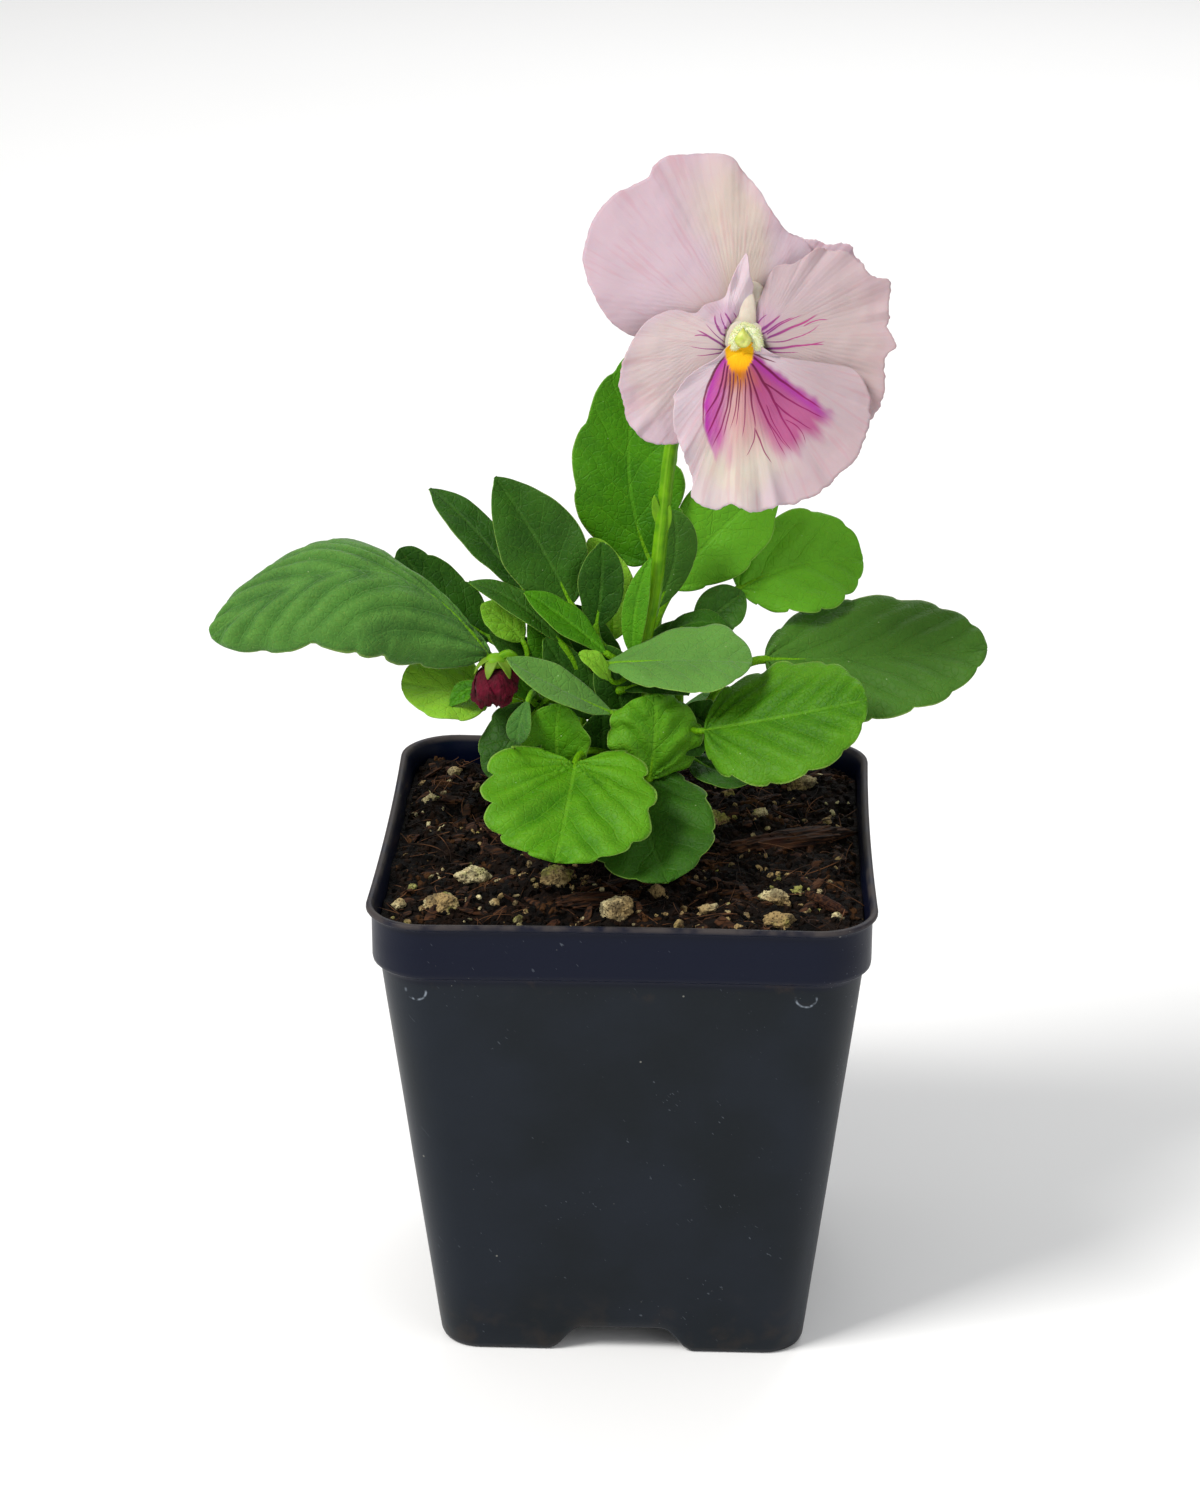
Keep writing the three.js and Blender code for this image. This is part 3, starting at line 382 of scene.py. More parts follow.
class Graph:
    """Builds the nodes of one material or one geometry tree."""

    def __init__(self, tree, material=None):
        self.tree, self.material = tree, material

    def node(self, kind, sockets=None, **settings):
        node = self.tree.nodes.new(kind)
        for name, setting in settings.items():
            setattr(node, name, setting)
        for name, value in (sockets or {}).items():
            self.plug(node.inputs[name], value)
        return node

    def plug(self, socket, value):
        if isinstance(value, Value):
            value = value.socket
        if isinstance(value, bpy.types.NodeSocket):
            self.tree.links.new(value, socket)
        elif isinstance(value, tuple) and socket.type == "RGBA":
            socket.default_value = (*value, 1)
        else:
            socket.default_value = value

    def math(self, operation, *values):
        node = self.node("ShaderNodeMath", dict(enumerate(values)), operation=operation)
        return Value(self, node.outputs[0])

    def vector_math(self, operation, *values):
        return self.node("ShaderNodeVectorMath", dict(enumerate(values)), operation=operation).outputs

    def level(self, name):
        """A layer of numbers on the mesh."""
        return Value(self, self.node("ShaderNodeAttribute", attribute_name=name).outputs["Fac"])

    def levels(self, name):
        """The three numbers of a layer of vectors on the mesh."""
        return self.parts(self.node("ShaderNodeAttribute", attribute_name=name).outputs["Vector"])

    def parts(self, vector):
        split = self.node("ShaderNodeSeparateXYZ", {0: vector})
        return [Value(self, socket) for socket in split.outputs]

    def place(self):
        """Position from the middle of the pot's base, in millimetres."""
        coordinates = self.node("ShaderNodeTexCoord").outputs["Object"]
        return self.vector_math("SUBTRACT", self.stretch(coordinates, (1 / MM,) * 3), PLACE)[0]

    def dot(self, vector, way):
        way = (float(way[0]), float(way[1]), 0.0)
        return Value(self, self.vector_math("DOT_PRODUCT", vector, way)["Value"])

    def stretch(self, vector, factors):
        return self.vector_math("MULTIPLY", vector, factors)[0]

    def turned(self, vector, angles):
        return self.node("ShaderNodeMapping", {0: vector, "Rotation": angles}).outputs[0]

    def centred(self, noise_node):
        """Vectors about zero from a noise node's colours, which lie about a half."""
        return self.vector_math("ADD", noise_node.outputs["Color"], (-0.5, -0.5, -0.5))[0]

    def vector(self, x, y, z=0.0):
        return self.node("ShaderNodeCombineXYZ", {0: x, 1: y, 2: z}).outputs[0]

    def random_vector(self, low, high, seed):
        node = self.node("FunctionNodeRandomValue", {0: low, 1: high, "Seed": seed}, data_type="FLOAT_VECTOR")
        return node.outputs[0]

    def noise(self, vector, size, detail=3.0):
        """Noise about 0.5 whose lumps have the given size."""
        sockets = {"Vector": vector, "Scale": 1 / size, "Detail": detail}
        return Value(self, self.node("ShaderNodeTexNoise", sockets).outputs["Fac"])

    def cells(self, vector, size, feature="F1"):
        """Distance from the middles of cells of the given size, or from their edges."""
        sockets = {"Vector": vector, "Scale": 1 / size}
        return Value(self, self.node("ShaderNodeTexVoronoi", sockets, feature=feature).outputs["Distance"])

    def mix(self, share, first, second):
        return self.node("ShaderNodeMix", {0: share, 6: first, 7: second}, data_type="RGBA").outputs[2]

    def coats(self, colour, *coats):
        """A colour with one coat after another over it; each coat is a share and a colour."""
        for share, coat in coats:
            colour = self.mix(share, colour, coat)
        return colour

    def surface(self, colour, roughness=0.5, height=None, depth=0.1, **fixed):
        """Finished material; height is in units of depth, which is in millimetres."""
        sockets = {"Base Color": colour, "Roughness": roughness}
        for name, value in fixed.items():
            sockets[name.replace("_", " ").title().replace("Ior", "IOR")] = value
        if height is not None:
            bump = {"Height": height, "Distance": depth * MM, "Strength": 1.0}
            sockets["Normal"] = self.node("ShaderNodeBump", bump).outputs[0]
        shader = self.node("ShaderNodeBsdfPrincipled", sockets)
        output = self.node("ShaderNodeOutputMaterial")
        self.tree.links.new(shader.outputs[0], output.inputs[0])
        return self.material


def material_graph(name):
    material = bpy.data.materials.new(name)
    material.use_nodes = True
    material.node_tree.nodes.clear()
    return Graph(material.node_tree, material)


# ---- Pot ----

# Outside of the wall from the foot to the lip, then down the inside to the floor: how far up,
# half width and corner radius.
POT_OUTSIDE = [
    (1.2, 33.3, 7.4), (4.0, 33.65, 7.5), (7.0, 34.0, 7.6), (14, 34.8, 7.8), (26, 36.2, 8.1),
    (38, 37.6, 8.4), (50, 38.95, 8.7), (62, 40.35, 9.0), (71, 41.4, 9.2), (76, 41.95, 9.3),
    (78.1, 42.2, 9.4), (78.8, 42.35, 9.4), (79.15, 42.75, 9.6), (79.35, 43.2, 9.8), (79.7, 43.5, 10),
    (80.4, 43.6, 10), (84, 43.6, 10), (88, 43.6, 10), (88.5, 43.65, 10), (88.75, 43.8, 10.1),
    (88.9, 44.1, 10.2), (89.05, 44.38, 10.4), (89.3, 44.5, 10.4), (89.6, 44.5, 10.4),
    (89.85, 44.42, 10.3), (89.97, 44.25, 10.2), (90, 44.0, 10.1), (89.97, 43.7, 10), (89.8, 43.5, 9.9),
    (89.5, 43.3, 9.7), (89, 43.05, 9.4), (88, 42.7, 9.1), (86.5, 42.5, 8.9), (82, 42.5, 8.9),
    (80.2, 42.45, 8.9),
    (79.2, 41.9, 8.6), (78.4, 41.25, 8.3), (60, 39.1, 7.8), (30, 35.6, 7.1), (12, 33.5, 6.7),
    (7, 32.9, 6.5),
]
POT_HEIGHT = 90
FOOT_ROWS = 3  # rows of POT_OUTSIDE that follow the channels' mouths, up to a height of FOOT_BLEND
FOOT_BLEND = 12
FOOT_CORNER = (33.2, 7.3)  # half width and corner radius of the foot
FOOT_EDGE = [(1.0, 0.0), (0.55, 0.12), (0.2, 0.45)]  # its rounded edge: how far in and how far up
INSIDE_CORNER = (32.3, 6.3)  # half width and corner radius of the floor
FLOOR_SHARES = np.linspace(1, 0.04, 26)
CORNER_POINTS = 10
SIDE_POINTS = 36
CHANNEL = ((7.5, 4.6), (13.0, 0.0))  # half width and height at its roof and at its foot
FLOOR = 1.1
DRAINS = [(0, 0), (20, 0), (0, 20), (-20, 0), (0, -20)]
DRAIN_RADIUS = 3
BAND_EDGE = 77.5
SCUFF_SIDES = (-35.4, 32.2)  # where the two round scuffs are across the front, and how high
SCUFF_HEIGHT = 76.4


def square_ring(half, corner, bow=0.0):
    """Square with round corners, anticlockwise; its sides draw in by bow at the middle."""
    points = []
    for quarter in range(4):
        turn = math.radians(90 * quarter)
        for k in range(CORNER_POINTS):
            angle = turn + math.radians(90 * k / CORNER_POINTS)
            reach = (half - corner) * math.sqrt(2)
            middle = turn + math.pi / 4
            points.append((
                reach * math.cos(middle) + corner * math.cos(angle),
                reach * math.sin(middle) + corner * math.sin(angle),
            ))
        for k in range(SIDE_POINTS):
            share = 1 - 2 * k / SIDE_POINTS
            along, out = (half - corner) * share, half - bow * (1 - share * share)
            cos, sin = math.cos(turn + math.pi / 2), math.sin(turn + math.pi / 2)
            points.append((out * cos + along * sin, out * sin - along * cos))
    return np.array(points)


def channel_height(along):
    """Height of the channel's section at a distance from its middle."""
    (roof, top), (foot, _) = CHANNEL
    return top * (1 - smooth(roof, foot, np.abs(along)))


def under_height(points):
    return np.maximum(channel_height(points[..., 0]), channel_height(points[..., 1]))


def raised(ring, height):
    """Ring in space from one in the plane and its height."""
    return np.column_stack([ring, np.broadcast_to(height, len(ring))])


def pot_shell(bow):
    foot = under_height(square_ring(*POT_OUTSIDE[0][1:]))
    half, corner = FOOT_CORNER
    rings = [raised(square_ring(half - inset, corner - inset), foot + lift) for inset, lift in FOOT_EDGE]
    for k, (z, half, corner) in enumerate(POT_OUTSIDE):
        rise = foot + z * (1 - foot / FOOT_BLEND) if k < FOOT_ROWS else z
        rings.append(raised(square_ring(half, corner, bow * (z / POT_HEIGHT) ** 2), rise))
    half, corner = FOOT_CORNER
    underside = square_ring(half - FOOT_EDGE[0][0], corner - FOOT_EDGE[0][0])
    inside = square_ring(*INSIDE_CORNER)
    below = [raised(underside * s, under_height(underside * s)) for s in FLOOR_SHARES[1:]]
    above = [raised(inside * s, under_height(inside * s) + FLOOR) for s in FLOOR_SHARES]
    return loft(below[::-1] + rings + above)


def pot_material(settings):
    graph = material_graph("pot plastic")
    place = graph.place()
    x, y, z = graph.parts(place)
    clouds = graph.noise(place, 22, 3)
    grain = graph.noise(place, 0.45, 2)
    dust = 1 - graph.cells(place, 8.5).step(0.018, 0.03)
    fine_dust = 1 - graph.cells(place, 2.3).step(0.025, 0.05)
    patch = graph.noise(place, 9, 2).step(0.52, 0.66)
    dust = (dust + fine_dust * patch).math("MINIMUM", 1)
    smudge = z.near(BAND_EDGE, 3.5) * graph.noise(place, 4, 4).step(0.56, 0.74) * 0.35
    foot = (1 - z.step(0, 16)) * graph.noise(place, 4, 4).step(0.45, 0.75) * 0.25
    slant = graph.stretch(graph.turned(place, (0.3, 0.7, 0.2)), (0.9, 0.9, 0.05))
    scratch = graph.noise(slant, 0.35, 1).step(0.72, 0.76) * patch
    # Lighter grey line along the top of the lip: partly dust, partly a painted highlight on the rim's edge.
    lip_dust_and_highlight = z.step(88.9, 89.7) * graph.noise(place, 5, 3).step(0.3, 0.6)
    scuff = 0
    for side in SCUFF_SIDES:
        away = ((x - side) ** 2 + (z - SCUFF_HEIGHT) ** 2).math("SQRT")
        scuff = away.near(1.8, 0.3) * (1 - z.step(SCUFF_HEIGHT - 0.2, SCUFF_HEIGHT + 0.4)) + scuff
    scuff = scuff * (1 - y.step(-42, -36)) * graph.noise(place, 1.1, 3).step(0.36, 0.6)
    wall = graph.mix(clouds.step(0.3, 0.7), settings.colour_wall[:], settings.colour_worn[:])
    colour = graph.coats(
        wall,
        (z.step(BAND_EDGE - 0.5, BAND_EDGE + 1.5), settings.colour[:]),
        ((smudge + foot).math("MINIMUM", 1), tint(70, 58, 44)),
        # Dust and painted highlight along the top of the lip.
        (lip_dust_and_highlight * 0.3, tint(112, 102, 92)),
        (dust * 0.4, tint(170, 170, 160)),
        ((scuff * 0.7 + scratch * 0.18).math("MINIMUM", 1), tint(150, 160, 172)))
    gloss = 0.3 + clouds * 0.16 + (smudge + foot + dust + scuff + lip_dust_and_highlight * 0.5) * 0.4
    height = grain * 0.3 + scratch * 0.5 + scuff * 0.6 + clouds
    return graph.surface(colour, gloss, height, 0.05, specular_ior_level=0.16)


class PotSettings(bpy.types.PropertyGroup):
    bow: bpy.props.FloatProperty(
        name="Bow", description="How far the sides of the rim draw in at their middle",
        default=0.5 * MM, min=0, max=2 * MM, unit="LENGTH")
    colour: colour_setting("Plastic", "Colour of the moulded plastic", tint(9, 17, 36))
    colour_wall: colour_setting("Wall", "Colour of the handled wall below the band", tint(21, 27, 32))
    colour_worn: colour_setting("Worn Plastic", "Colour where the plastic is rubbed", tint(27, 33, 41))


class PANSY_OT_pot(bpy.types.Operator):
    """Make the square pot with its lip, band, crossing channels and drain holes"""

    bl_idname = "pansy.pot"
    bl_label = "Pot"

    def execute(self, context):
        settings = context.scene.pansy_pot
        pot = Shell(pot_shell(settings.bow / MM)).object("nursery_pot", pot_material(settings))
        drills = Shell()
        for x, y in DRAINS:
            path = [(x, y, z) for z in (2, 4, 7, 9)]
            drills.add(*loft(tube_rings(path, DRAIN_RADIUS, 24, up=(1, 0, 0))))
        drill = drills.object("drill", pot.data.materials[0])
        cut = pot.modifiers.new("drain holes", "BOOLEAN")
        cut.object = drill
        cut.operation = "DIFFERENCE"
        cut.solver = "EXACT"
        pot = baked(pot)
        bpy.data.objects.remove(drill)
        settle(pot, "pot_plastic", "pot")
        return {"FINISHED"}


def baked(piece):
    """The piece with its modifiers worked into a plain mesh."""
    context = bpy.context
    context.view_layer.update()
    evaluated = piece.evaluated_get(context.evaluated_depsgraph_get())
    mesh = bpy.data.meshes.new_from_object(evaluated)
    piece.modifiers.clear()
    piece.data = mesh
    return piece


# ---- Potting mix ----

MIX_LEVEL = 86.6
LUMPS = [
    # node, place, half sizes along, across and up, turn in degrees, slot
    ("pumice_front_left", (-27.5, -16.5), (3.2, 2.6, 2.2), 20, "pumice"),
    ("pumice_corner_left", (-31.5, -31), (3.4, 2.4, 1.8), -15, "pumice"),
    ("pumice_front_middle", (-0.5, -32), (3.0, 3.0, 2.6), 40, "pumice"),
    ("pumice_under_leaf", (-12, -17), (2.6, 3.6, 2.2), -30, "pumice"),
    ("pumice_front_right", (26.5, -24), (3.6, 1.8, 1.6), -35, "pumice"),
    ("pumice_corner_right", (27, -34.5), (2.8, 1.9, 1.4), 10, "pumice"),
    ("pumice_right", (16, 11), (2.2, 2.6, 2.0), 0, "pumice"),
    ("pumice_rear_right", (32, 30), (3.4, 2.6, 2.0), 15, "pumice"),
    ("pumice_rear_left", (-38, 18), (2.2, 1.8, 1.5), 60, "pumice"),
    ("bark_front", (-6, -26.5), (5.5, 2.6, 1.3), 12, "bark"),
    ("bark_sliver", (35.5, -27.5), (5.5, 0.9, 1.0), -50, "bark"),
    ("bark_ridge", (30, 1), (11, 3.2, 1.5), 22, "bark"),
]
# Smaller pebbles among them: place and half sizes.
PEBBLES = [
    ((6, -23.8), (1.6, 1.4, 1.7)), ((15.1, -29.9), (2.1, 1.5, 1.5)), ((24, 12.9), (2.6, 1.8, 1.6)),
    ((-39.3, -29.5), (1.3, 1.2, 1.2)), ((30.9, -20.6), (1.5, 1.2, 1.0)), ((-31.5, -26.6), (1.5, 1.1, 1.0)),
    ((10, -36.6), (1.2, 1.0, 0.9)), ((-34.3, 5.8), (1.0, 0.8, 0.8)), ((-37.4, -22.3), (1.1, 0.9, 0.8)),
    ((-22.4, -27.5), (1.0, 0.8, 0.8)), ((37.5, -31.3), (1.2, 1.0, 0.9)), ((-18, -36.5), (1.2, 0.9, 0.9)),
    ((36.5, 12), (1.4, 1.1, 1.0)), ((-24, 30), (2.0, 1.4, 1.2)), ((4, 34), (2.2, 1.6, 1.4)),
    ((18, 26), (1.3, 1.1, 1.0)), ((-34, 33), (1.6, 1.2, 1.0)), ((20.5, -36.8), (1.0, 0.9, 0.8)),
]
MIX_RINGS = 92
MIX_RING_POINTS = 420
MIX_HALF = 42.15
MIX_CORNER = 8.6
MIX_BOTTOM = FLOOR + 0.3
MIX_FOOT = (31.6, 5.8)  # half width and corner radius at its foot, then with the height further up
MIX_SIDES = [(40.8, 8.0, 78.5), (42.1, 8.5, 80.2)]


def mix_height(x, y):
    """Height of the mix under its crumbs, which rises and falls a little."""
    waves = np.sin(0.19 * x + 1) * np.cos(0.23 * y) + 0.7 * np.sin(0.41 * x - 0.37 * y + 2)
    return MIX_LEVEL - 0.01 * y + 0.5 * waves


def mix_relief(points):
    """Height of the crumbly surface over points across the pot."""
    x, y = points[..., 0], points[..., 1]
    relief = rough(points, 9.0, 2, 11) + 1.3 * np.abs(rough(points, 4.4, 4, 21))
    rim = smooth(0.86, 1.0, np.maximum(np.abs(x), np.abs(y)) / MIX_HALF)
    return mix_height(x, y) + relief * (1 - 0.45 * rim) - 0.5 - 0.5 * rim


def mix_ring(half, corner):
    return respaced_ring(square_ring(half, corner), MIX_RING_POINTS)


def mix_shell():
    foot = mix_ring(*MIX_FOOT)
    bottom = [foot * share for share in (*np.linspace(0.05, 0.95, 16), 1)]
    below = [raised(ring, under_height(ring) + MIX_BOTTOM) for ring in bottom]
    sides = [raised(mix_ring(half, corner), z) for half, corner, z in MIX_SIDES]
    rim = mix_ring(MIX_HALF, MIX_CORNER)
    top = [rim * share for share in np.linspace(1, 0.01, MIX_RINGS)]
    return loft(below + sides + [raised(ring, mix_relief(ring)) for ring in top])


def mix_material():
    graph = material_graph("potting mix")
    place = graph.place()
    lumps = graph.noise(place, 4.5, 4)
    grain = graph.noise(place, 0.7, 3)
    strands = graph.noise(graph.stretch(graph.turned(place, (0.3, 0.2, 0.9)), (1, 0.16, 1)), 0.8, 2)
    specks = (1 - graph.cells(place, 1.9).step(0.08, 0.16)) * grain.step(0.5, 0.62)
    colour = graph.coats(
        tint(8, 5, 4),
        (lumps.step(0.35, 0.7), tint(27, 18, 11)),
        (strands.step(0.6, 0.74) * 0.7, tint(64, 41, 25)),
        (specks * 0.6, tint(112, 92, 58)))
    return graph.surface(colour, 0.75 + grain * 0.25, grain + strands * 0.6, 0.5, specular_ior_level=0.15)


def crumb_material():
    graph = material_graph("crumbs")
    place = graph.place()
    tone = graph.noise(place, 2.2, 2)
    colour = graph.coats(
        tint(9, 6, 4),
        (tone.step(0.35, 0.68), tint(36, 24, 15)),
        (graph.noise(place, 6, 1).step(0.6, 0.68) * 0.6, tint(84, 56, 32)))
    return graph.surface(colour, 0.9, graph.noise(place, 0.35, 2), 0.15, specular_ior_level=0.15)


def fibre_material():
    graph = material_graph("peat fibre")
    place = graph.place()
    colour = graph.mix(graph.noise(place, 6, 1).step(0.4, 0.62), tint(34, 21, 12), tint(104, 70, 46))
    return graph.surface(colour, 0.8, graph.noise(place, 0.3, 1), 0.05, specular_ior_level=0.2)


def pumice_material():
    graph = material_graph("pumice")
    place = graph.place()
    patch = graph.noise(place, 13, 1)
    # Painted shade: the pits are painted darker brown, as shade in the pores.
    pits = 1 - graph.cells(place, 0.55).step(0.1, 0.42)
    grain = graph.noise(place, 0.5, 4)
    moss = graph.noise(place, 7, 3).step(0.54, 0.64)
    # Darker brown in patches over the stone.
    dark_brown_patches = graph.noise(place, 2.6, 3).step(0.5, 0.62)
    colour = graph.coats(
        tint(212, 200, 152),
        (patch.step(0.4, 0.56), tint(158, 134, 88)),
        (grain.step(0.42, 0.68) * 0.7, tint(112, 88, 54)),
        (moss * 0.75, tint(118, 124, 36)),
        (pits * 0.45, tint(76, 58, 34)),
        (dark_brown_patches * 0.6, tint(48, 36, 20)))
    return graph.surface(colour, 0.92, grain - pits, 0.3)


def bark_material():
    graph = material_graph("bark")
    place = graph.place()
    strands = graph.noise(graph.stretch(graph.turned(place, (0, 0, -0.38)), (0.14, 1, 1)), 0.55, 3)
    colour = graph.coats(
        tint(20, 12, 8),
        (strands.step(0.35, 0.7), tint(78, 50, 31)),
        (graph.noise(place, 5, 2).step(0.5, 0.7) * 0.5, tint(52, 24, 16)))
    return graph.surface(colour, 0.8, strands, 0.35, specular_ior_level=0.2)


def lump_shell(place, half, turn, is_bark, seed, detail=5):
    """A piece of ridged bark or of dented, faceted pumice, sunk into the mix."""
    points, faces = ball(detail)
    if is_bark:
        across = points * np.array([1.5, 7, 5])
        relief = 0.16 * rough(across, 1.0, 3, seed) + 0.08 * np.sin(9 * points[:, 1] + 3 * points[:, 0])
        points = points * (1 + relief[:, None])
        points[:, 0] += 0.12 * rough(points * 4, 1, 2, seed + 7)
    else:
        facets = unit(np.random.default_rng(seed).normal(size=(9, 3)))
        reach = np.min(0.74 / np.maximum(points @ facets.T, 0.2), axis=1)
        relief = 0.16 * rough(points * 2.2, 1.0, 4, seed)
        relief = relief - 0.13 * np.abs(rough(points * 6, 1.0, 2, seed + 9))
        points = points * (np.minimum(reach, 1.1) + relief)[:, None]
    cos, sin = math.cos(math.radians(turn)), math.sin(math.radians(turn))
    x, y, z = (points * np.array(half)).T
    middle = (*place, mix_height(*place) + half[2] * 0.25)
    return np.column_stack([x * cos - y * sin, x * sin + y * cos, z]) + middle, faces


class MixSettings(bpy.types.PropertyGroup):
    crumbs: count_setting("Crumbs", "Crumbs of peat on each square centimetre", 58)
    specks: count_setting("Specks", "Pale specks of pumice on each square decimetre", 330)
    fibres: count_setting("Fibres", "Fibres on each square decimetre", 620)
    chips: count_setting("Chips", "Bark chips on each square decimetre", 330)


class PANSY_OT_mix(bpy.types.Operator):
    """Make the block of potting mix and the larger stones and bark pieces that lie in it"""

    bl_idname = "pansy.mix"
    bl_label = "Potting Mix"

    def execute(self, context):
        block = Shell(mix_shell()).object("potting_mix_block", mix_material())
        settle(block, "potting_mix", "potting_mix")
        finish = {"pumice": pumice_material(), "bark": bark_material()}
        for seed, (node, place, half, turn, slot) in enumerate(LUMPS):
            shell = Shell(lump_shell(place, half, turn, slot == "bark", 31 + seed))
            settle(shell.object(node + "_piece", finish[slot]), slot, node)
        shell = Shell(*(lump_shell(place, half, 37 * seed, False, 61 + seed, 4)
                        for seed, (place, half) in enumerate(PEBBLES)))
        settle(shell.object("pumice_pebbles", finish["pumice"]), "pumice")
        return {"FINISHED"}


# ---- Scattering with geometry nodes ----

SCATTER_INPUTS = {
    # name: (socket type, default)
    "Density": ("NodeSocketFloat", 1000.0),
    "Smallest": ("NodeSocketVector", (0.0005,) * 3),
    "Largest": ("NodeSocketVector", (0.001,) * 3),
    "Sink": ("NodeSocketFloat", 0.0),
    "Tilt": ("NodeSocketFloat", math.pi),
    "Seed": ("NodeSocketInt", 1),
}


def lump_sources(graph, detail):
    """Three dented lumps of unit size."""
    sources = []
    for k in range(3):
        lump = graph.node("GeometryNodeMeshIcoSphere", {"Radius": 1.0, "Subdivisions": detail})
        dent = graph.node("ShaderNodeTexNoise", {"Scale": 1.4, "W": 3.7 * k}, noise_dimensions="4D")
        shift = graph.stretch(graph.centred(dent), (1.3, 1.3, 1.3))
        moved = graph.node("GeometryNodeSetPosition", {"Geometry": lump.outputs[0], "Offset": shift})
        sources.append(moved.outputs[0])
    return sources


def crumb_sources(graph):
    return lump_sources(graph, 1)


def chip_sources(graph):
    return lump_sources(graph, 2)


def strand_sources(graph):
    """Three bent strands of unit length."""
    sources = []
    for k, bend in enumerate((0.1, 0.28, -0.2)):
        path = graph.node("GeometryNodeCurveQuadraticBezier", {
            "Resolution": 6, "Start": (-0.5, 0, 0), "Middle": (0.1, bend, 0.12 * k),
            "End": (0.5, -bend / 3, 0.05)})
        ring = graph.node("GeometryNodeCurvePrimitiveCircle", {"Resolution": 3, "Radius": 0.022})
        strand = graph.node("GeometryNodeCurveToMesh", {
            "Curve": path.outputs[0], "Profile Curve": ring.outputs[0], "Fill Caps": True})
        sources.append(strand.outputs[0])
    return sources


def hair_sources(graph):
    """One tapered hair of unit length that stands on its foot."""
    hair = graph.node("GeometryNodeMeshCone", {
        "Vertices": 6, "Side Segments": 3, "Radius Top": 0.05, "Radius Bottom": 0.12, "Depth": 1.0})
    return [hair.outputs["Mesh"]]


def scatter_tree(name, sources, material):
    """Geometry tree that strews shapes over a surface and gives them a material."""
    tree = bpy.data.node_groups.new(name, "GeometryNodeTree")
    tree.interface.new_socket("Geometry", in_out="INPUT", socket_type="NodeSocketGeometry")
    tree.interface.new_socket("Geometry", in_out="OUTPUT", socket_type="NodeSocketGeometry")
    for label, (kind, default) in SCATTER_INPUTS.items():
        tree.interface.new_socket(label, in_out="INPUT", socket_type=kind).default_value = default
    graph = Graph(tree)
    given = graph.node("NodeGroupInput").outputs
    seed, tilt, sink = (Value(graph, given[label]) for label in ("Seed", "Tilt", "Sink"))
    spread = graph.node("GeometryNodeDistributePointsOnFaces", {
        "Mesh": given["Geometry"], "Density": given["Density"], "Seed": seed})
    shapes = graph.node("GeometryNodeJoinGeometry")
    for source in sources(graph):
        wrapped = graph.node("GeometryNodeGeometryToInstance", {0: source})
        graph.tree.links.new(wrapped.outputs[0], shapes.inputs[0])
    size = graph.random_vector(given["Smallest"], given["Largest"], seed)
    back = tilt * -1
    turn = graph.random_vector(
        graph.vector(back, back, -math.pi), graph.vector(tilt, tilt, math.pi), seed + 5)
    tilted = graph.node("FunctionNodeRotateRotation", {
        0: spread.outputs["Rotation"], 1: turn}, rotation_space="LOCAL")
    down = graph.node("ShaderNodeVectorMath", {
        0: spread.outputs["Normal"], "Scale": sink * -1}, operation="SCALE")
    sunk = graph.node("GeometryNodeSetPosition", {
        "Geometry": spread.outputs["Points"], "Offset": down.outputs[0]})
    placed = graph.node("GeometryNodeInstanceOnPoints", {
        "Points": sunk.outputs[0], "Instance": shapes.outputs[0], "Pick Instance": True,
        "Rotation": tilted.outputs[0], "Scale": size})
    real = graph.node("GeometryNodeRealizeInstances", {0: placed.outputs[0]})
    done = graph.node("GeometryNodeSetMaterial", {0: real.outputs[0], "Material": material})
    graph.node("NodeGroupOutput", {0: done.outputs[0]})
    return tree


def scattered(name, ground, tree, **values):
    """Strews the tree's shapes over the ground shell as one plain piece."""
    piece = ground.object(name, None)
    modifier = piece.modifiers.new("strewn", "NODES")
    modifier.node_group = tree
    for item in tree.interface.items_tree:
        key = item.name.lower()
        if item.in_out == "INPUT" and key in values:
            modifier[item.identifier] = values[key]
    return baked(piece)


GROUND_HALF = 41  # half width, straight half and corner radius of the ground for what is strewn
GROUND_STRAIGHT = 33.5
GROUND_CORNER = 7.9
LITTER = [
    # piece, setting, number on a square metre for each one of it, shapes, material, seed, tilt, sink,
    # smallest and largest half sizes, slot
    ("peat_crumbs", "crumbs", 1e4, crumb_sources, crumb_material, 3, math.pi, 0.05,
     (0.35, 0.3, 0.25), (1.15, 0.95, 0.8), "potting_mix"),
    ("bark_chips", "chips", 1e2, chip_sources, bark_material, 8, 0.5, -0.1,
     (1.0, 0.35, 0.2), (4.0, 1.3, 0.55), "bark"),
    ("peat_fibres", "fibres", 1e2, strand_sources, fibre_material, 12, 0.35, -0.35,
     (2.2, 2.5, 2.5), (9, 5.5, 5.5), "bark"),
    ("pumice_specks", "specks", 1e2, chip_sources, pumice_material, 21, math.pi, -0.2,
     (0.2, 0.18, 0.15), (0.9, 0.75, 0.6), "pumice"),
]


def open_ground():
    """Top of the potting mix alone, as ground for what lies on it."""
    ground = Shell()
    count = 2 * GROUND_HALF + 1
    steps = np.linspace(-GROUND_HALF, GROUND_HALF, count)
    points = np.dstack(np.meshgrid(steps, steps))
    faces = []
    for row in range(count - 1):
        for column in range(count - 1):
            a = row * count + column
            past = np.maximum(np.abs(points[row, column] + 0.5) - GROUND_STRAIGHT, 0)
            if np.hypot(*past) < GROUND_CORNER:
                faces.append([a, a + 1, a + count + 1, a + count])
    ground.add(np.dstack([points, mix_relief(points)]), faces)
    return ground


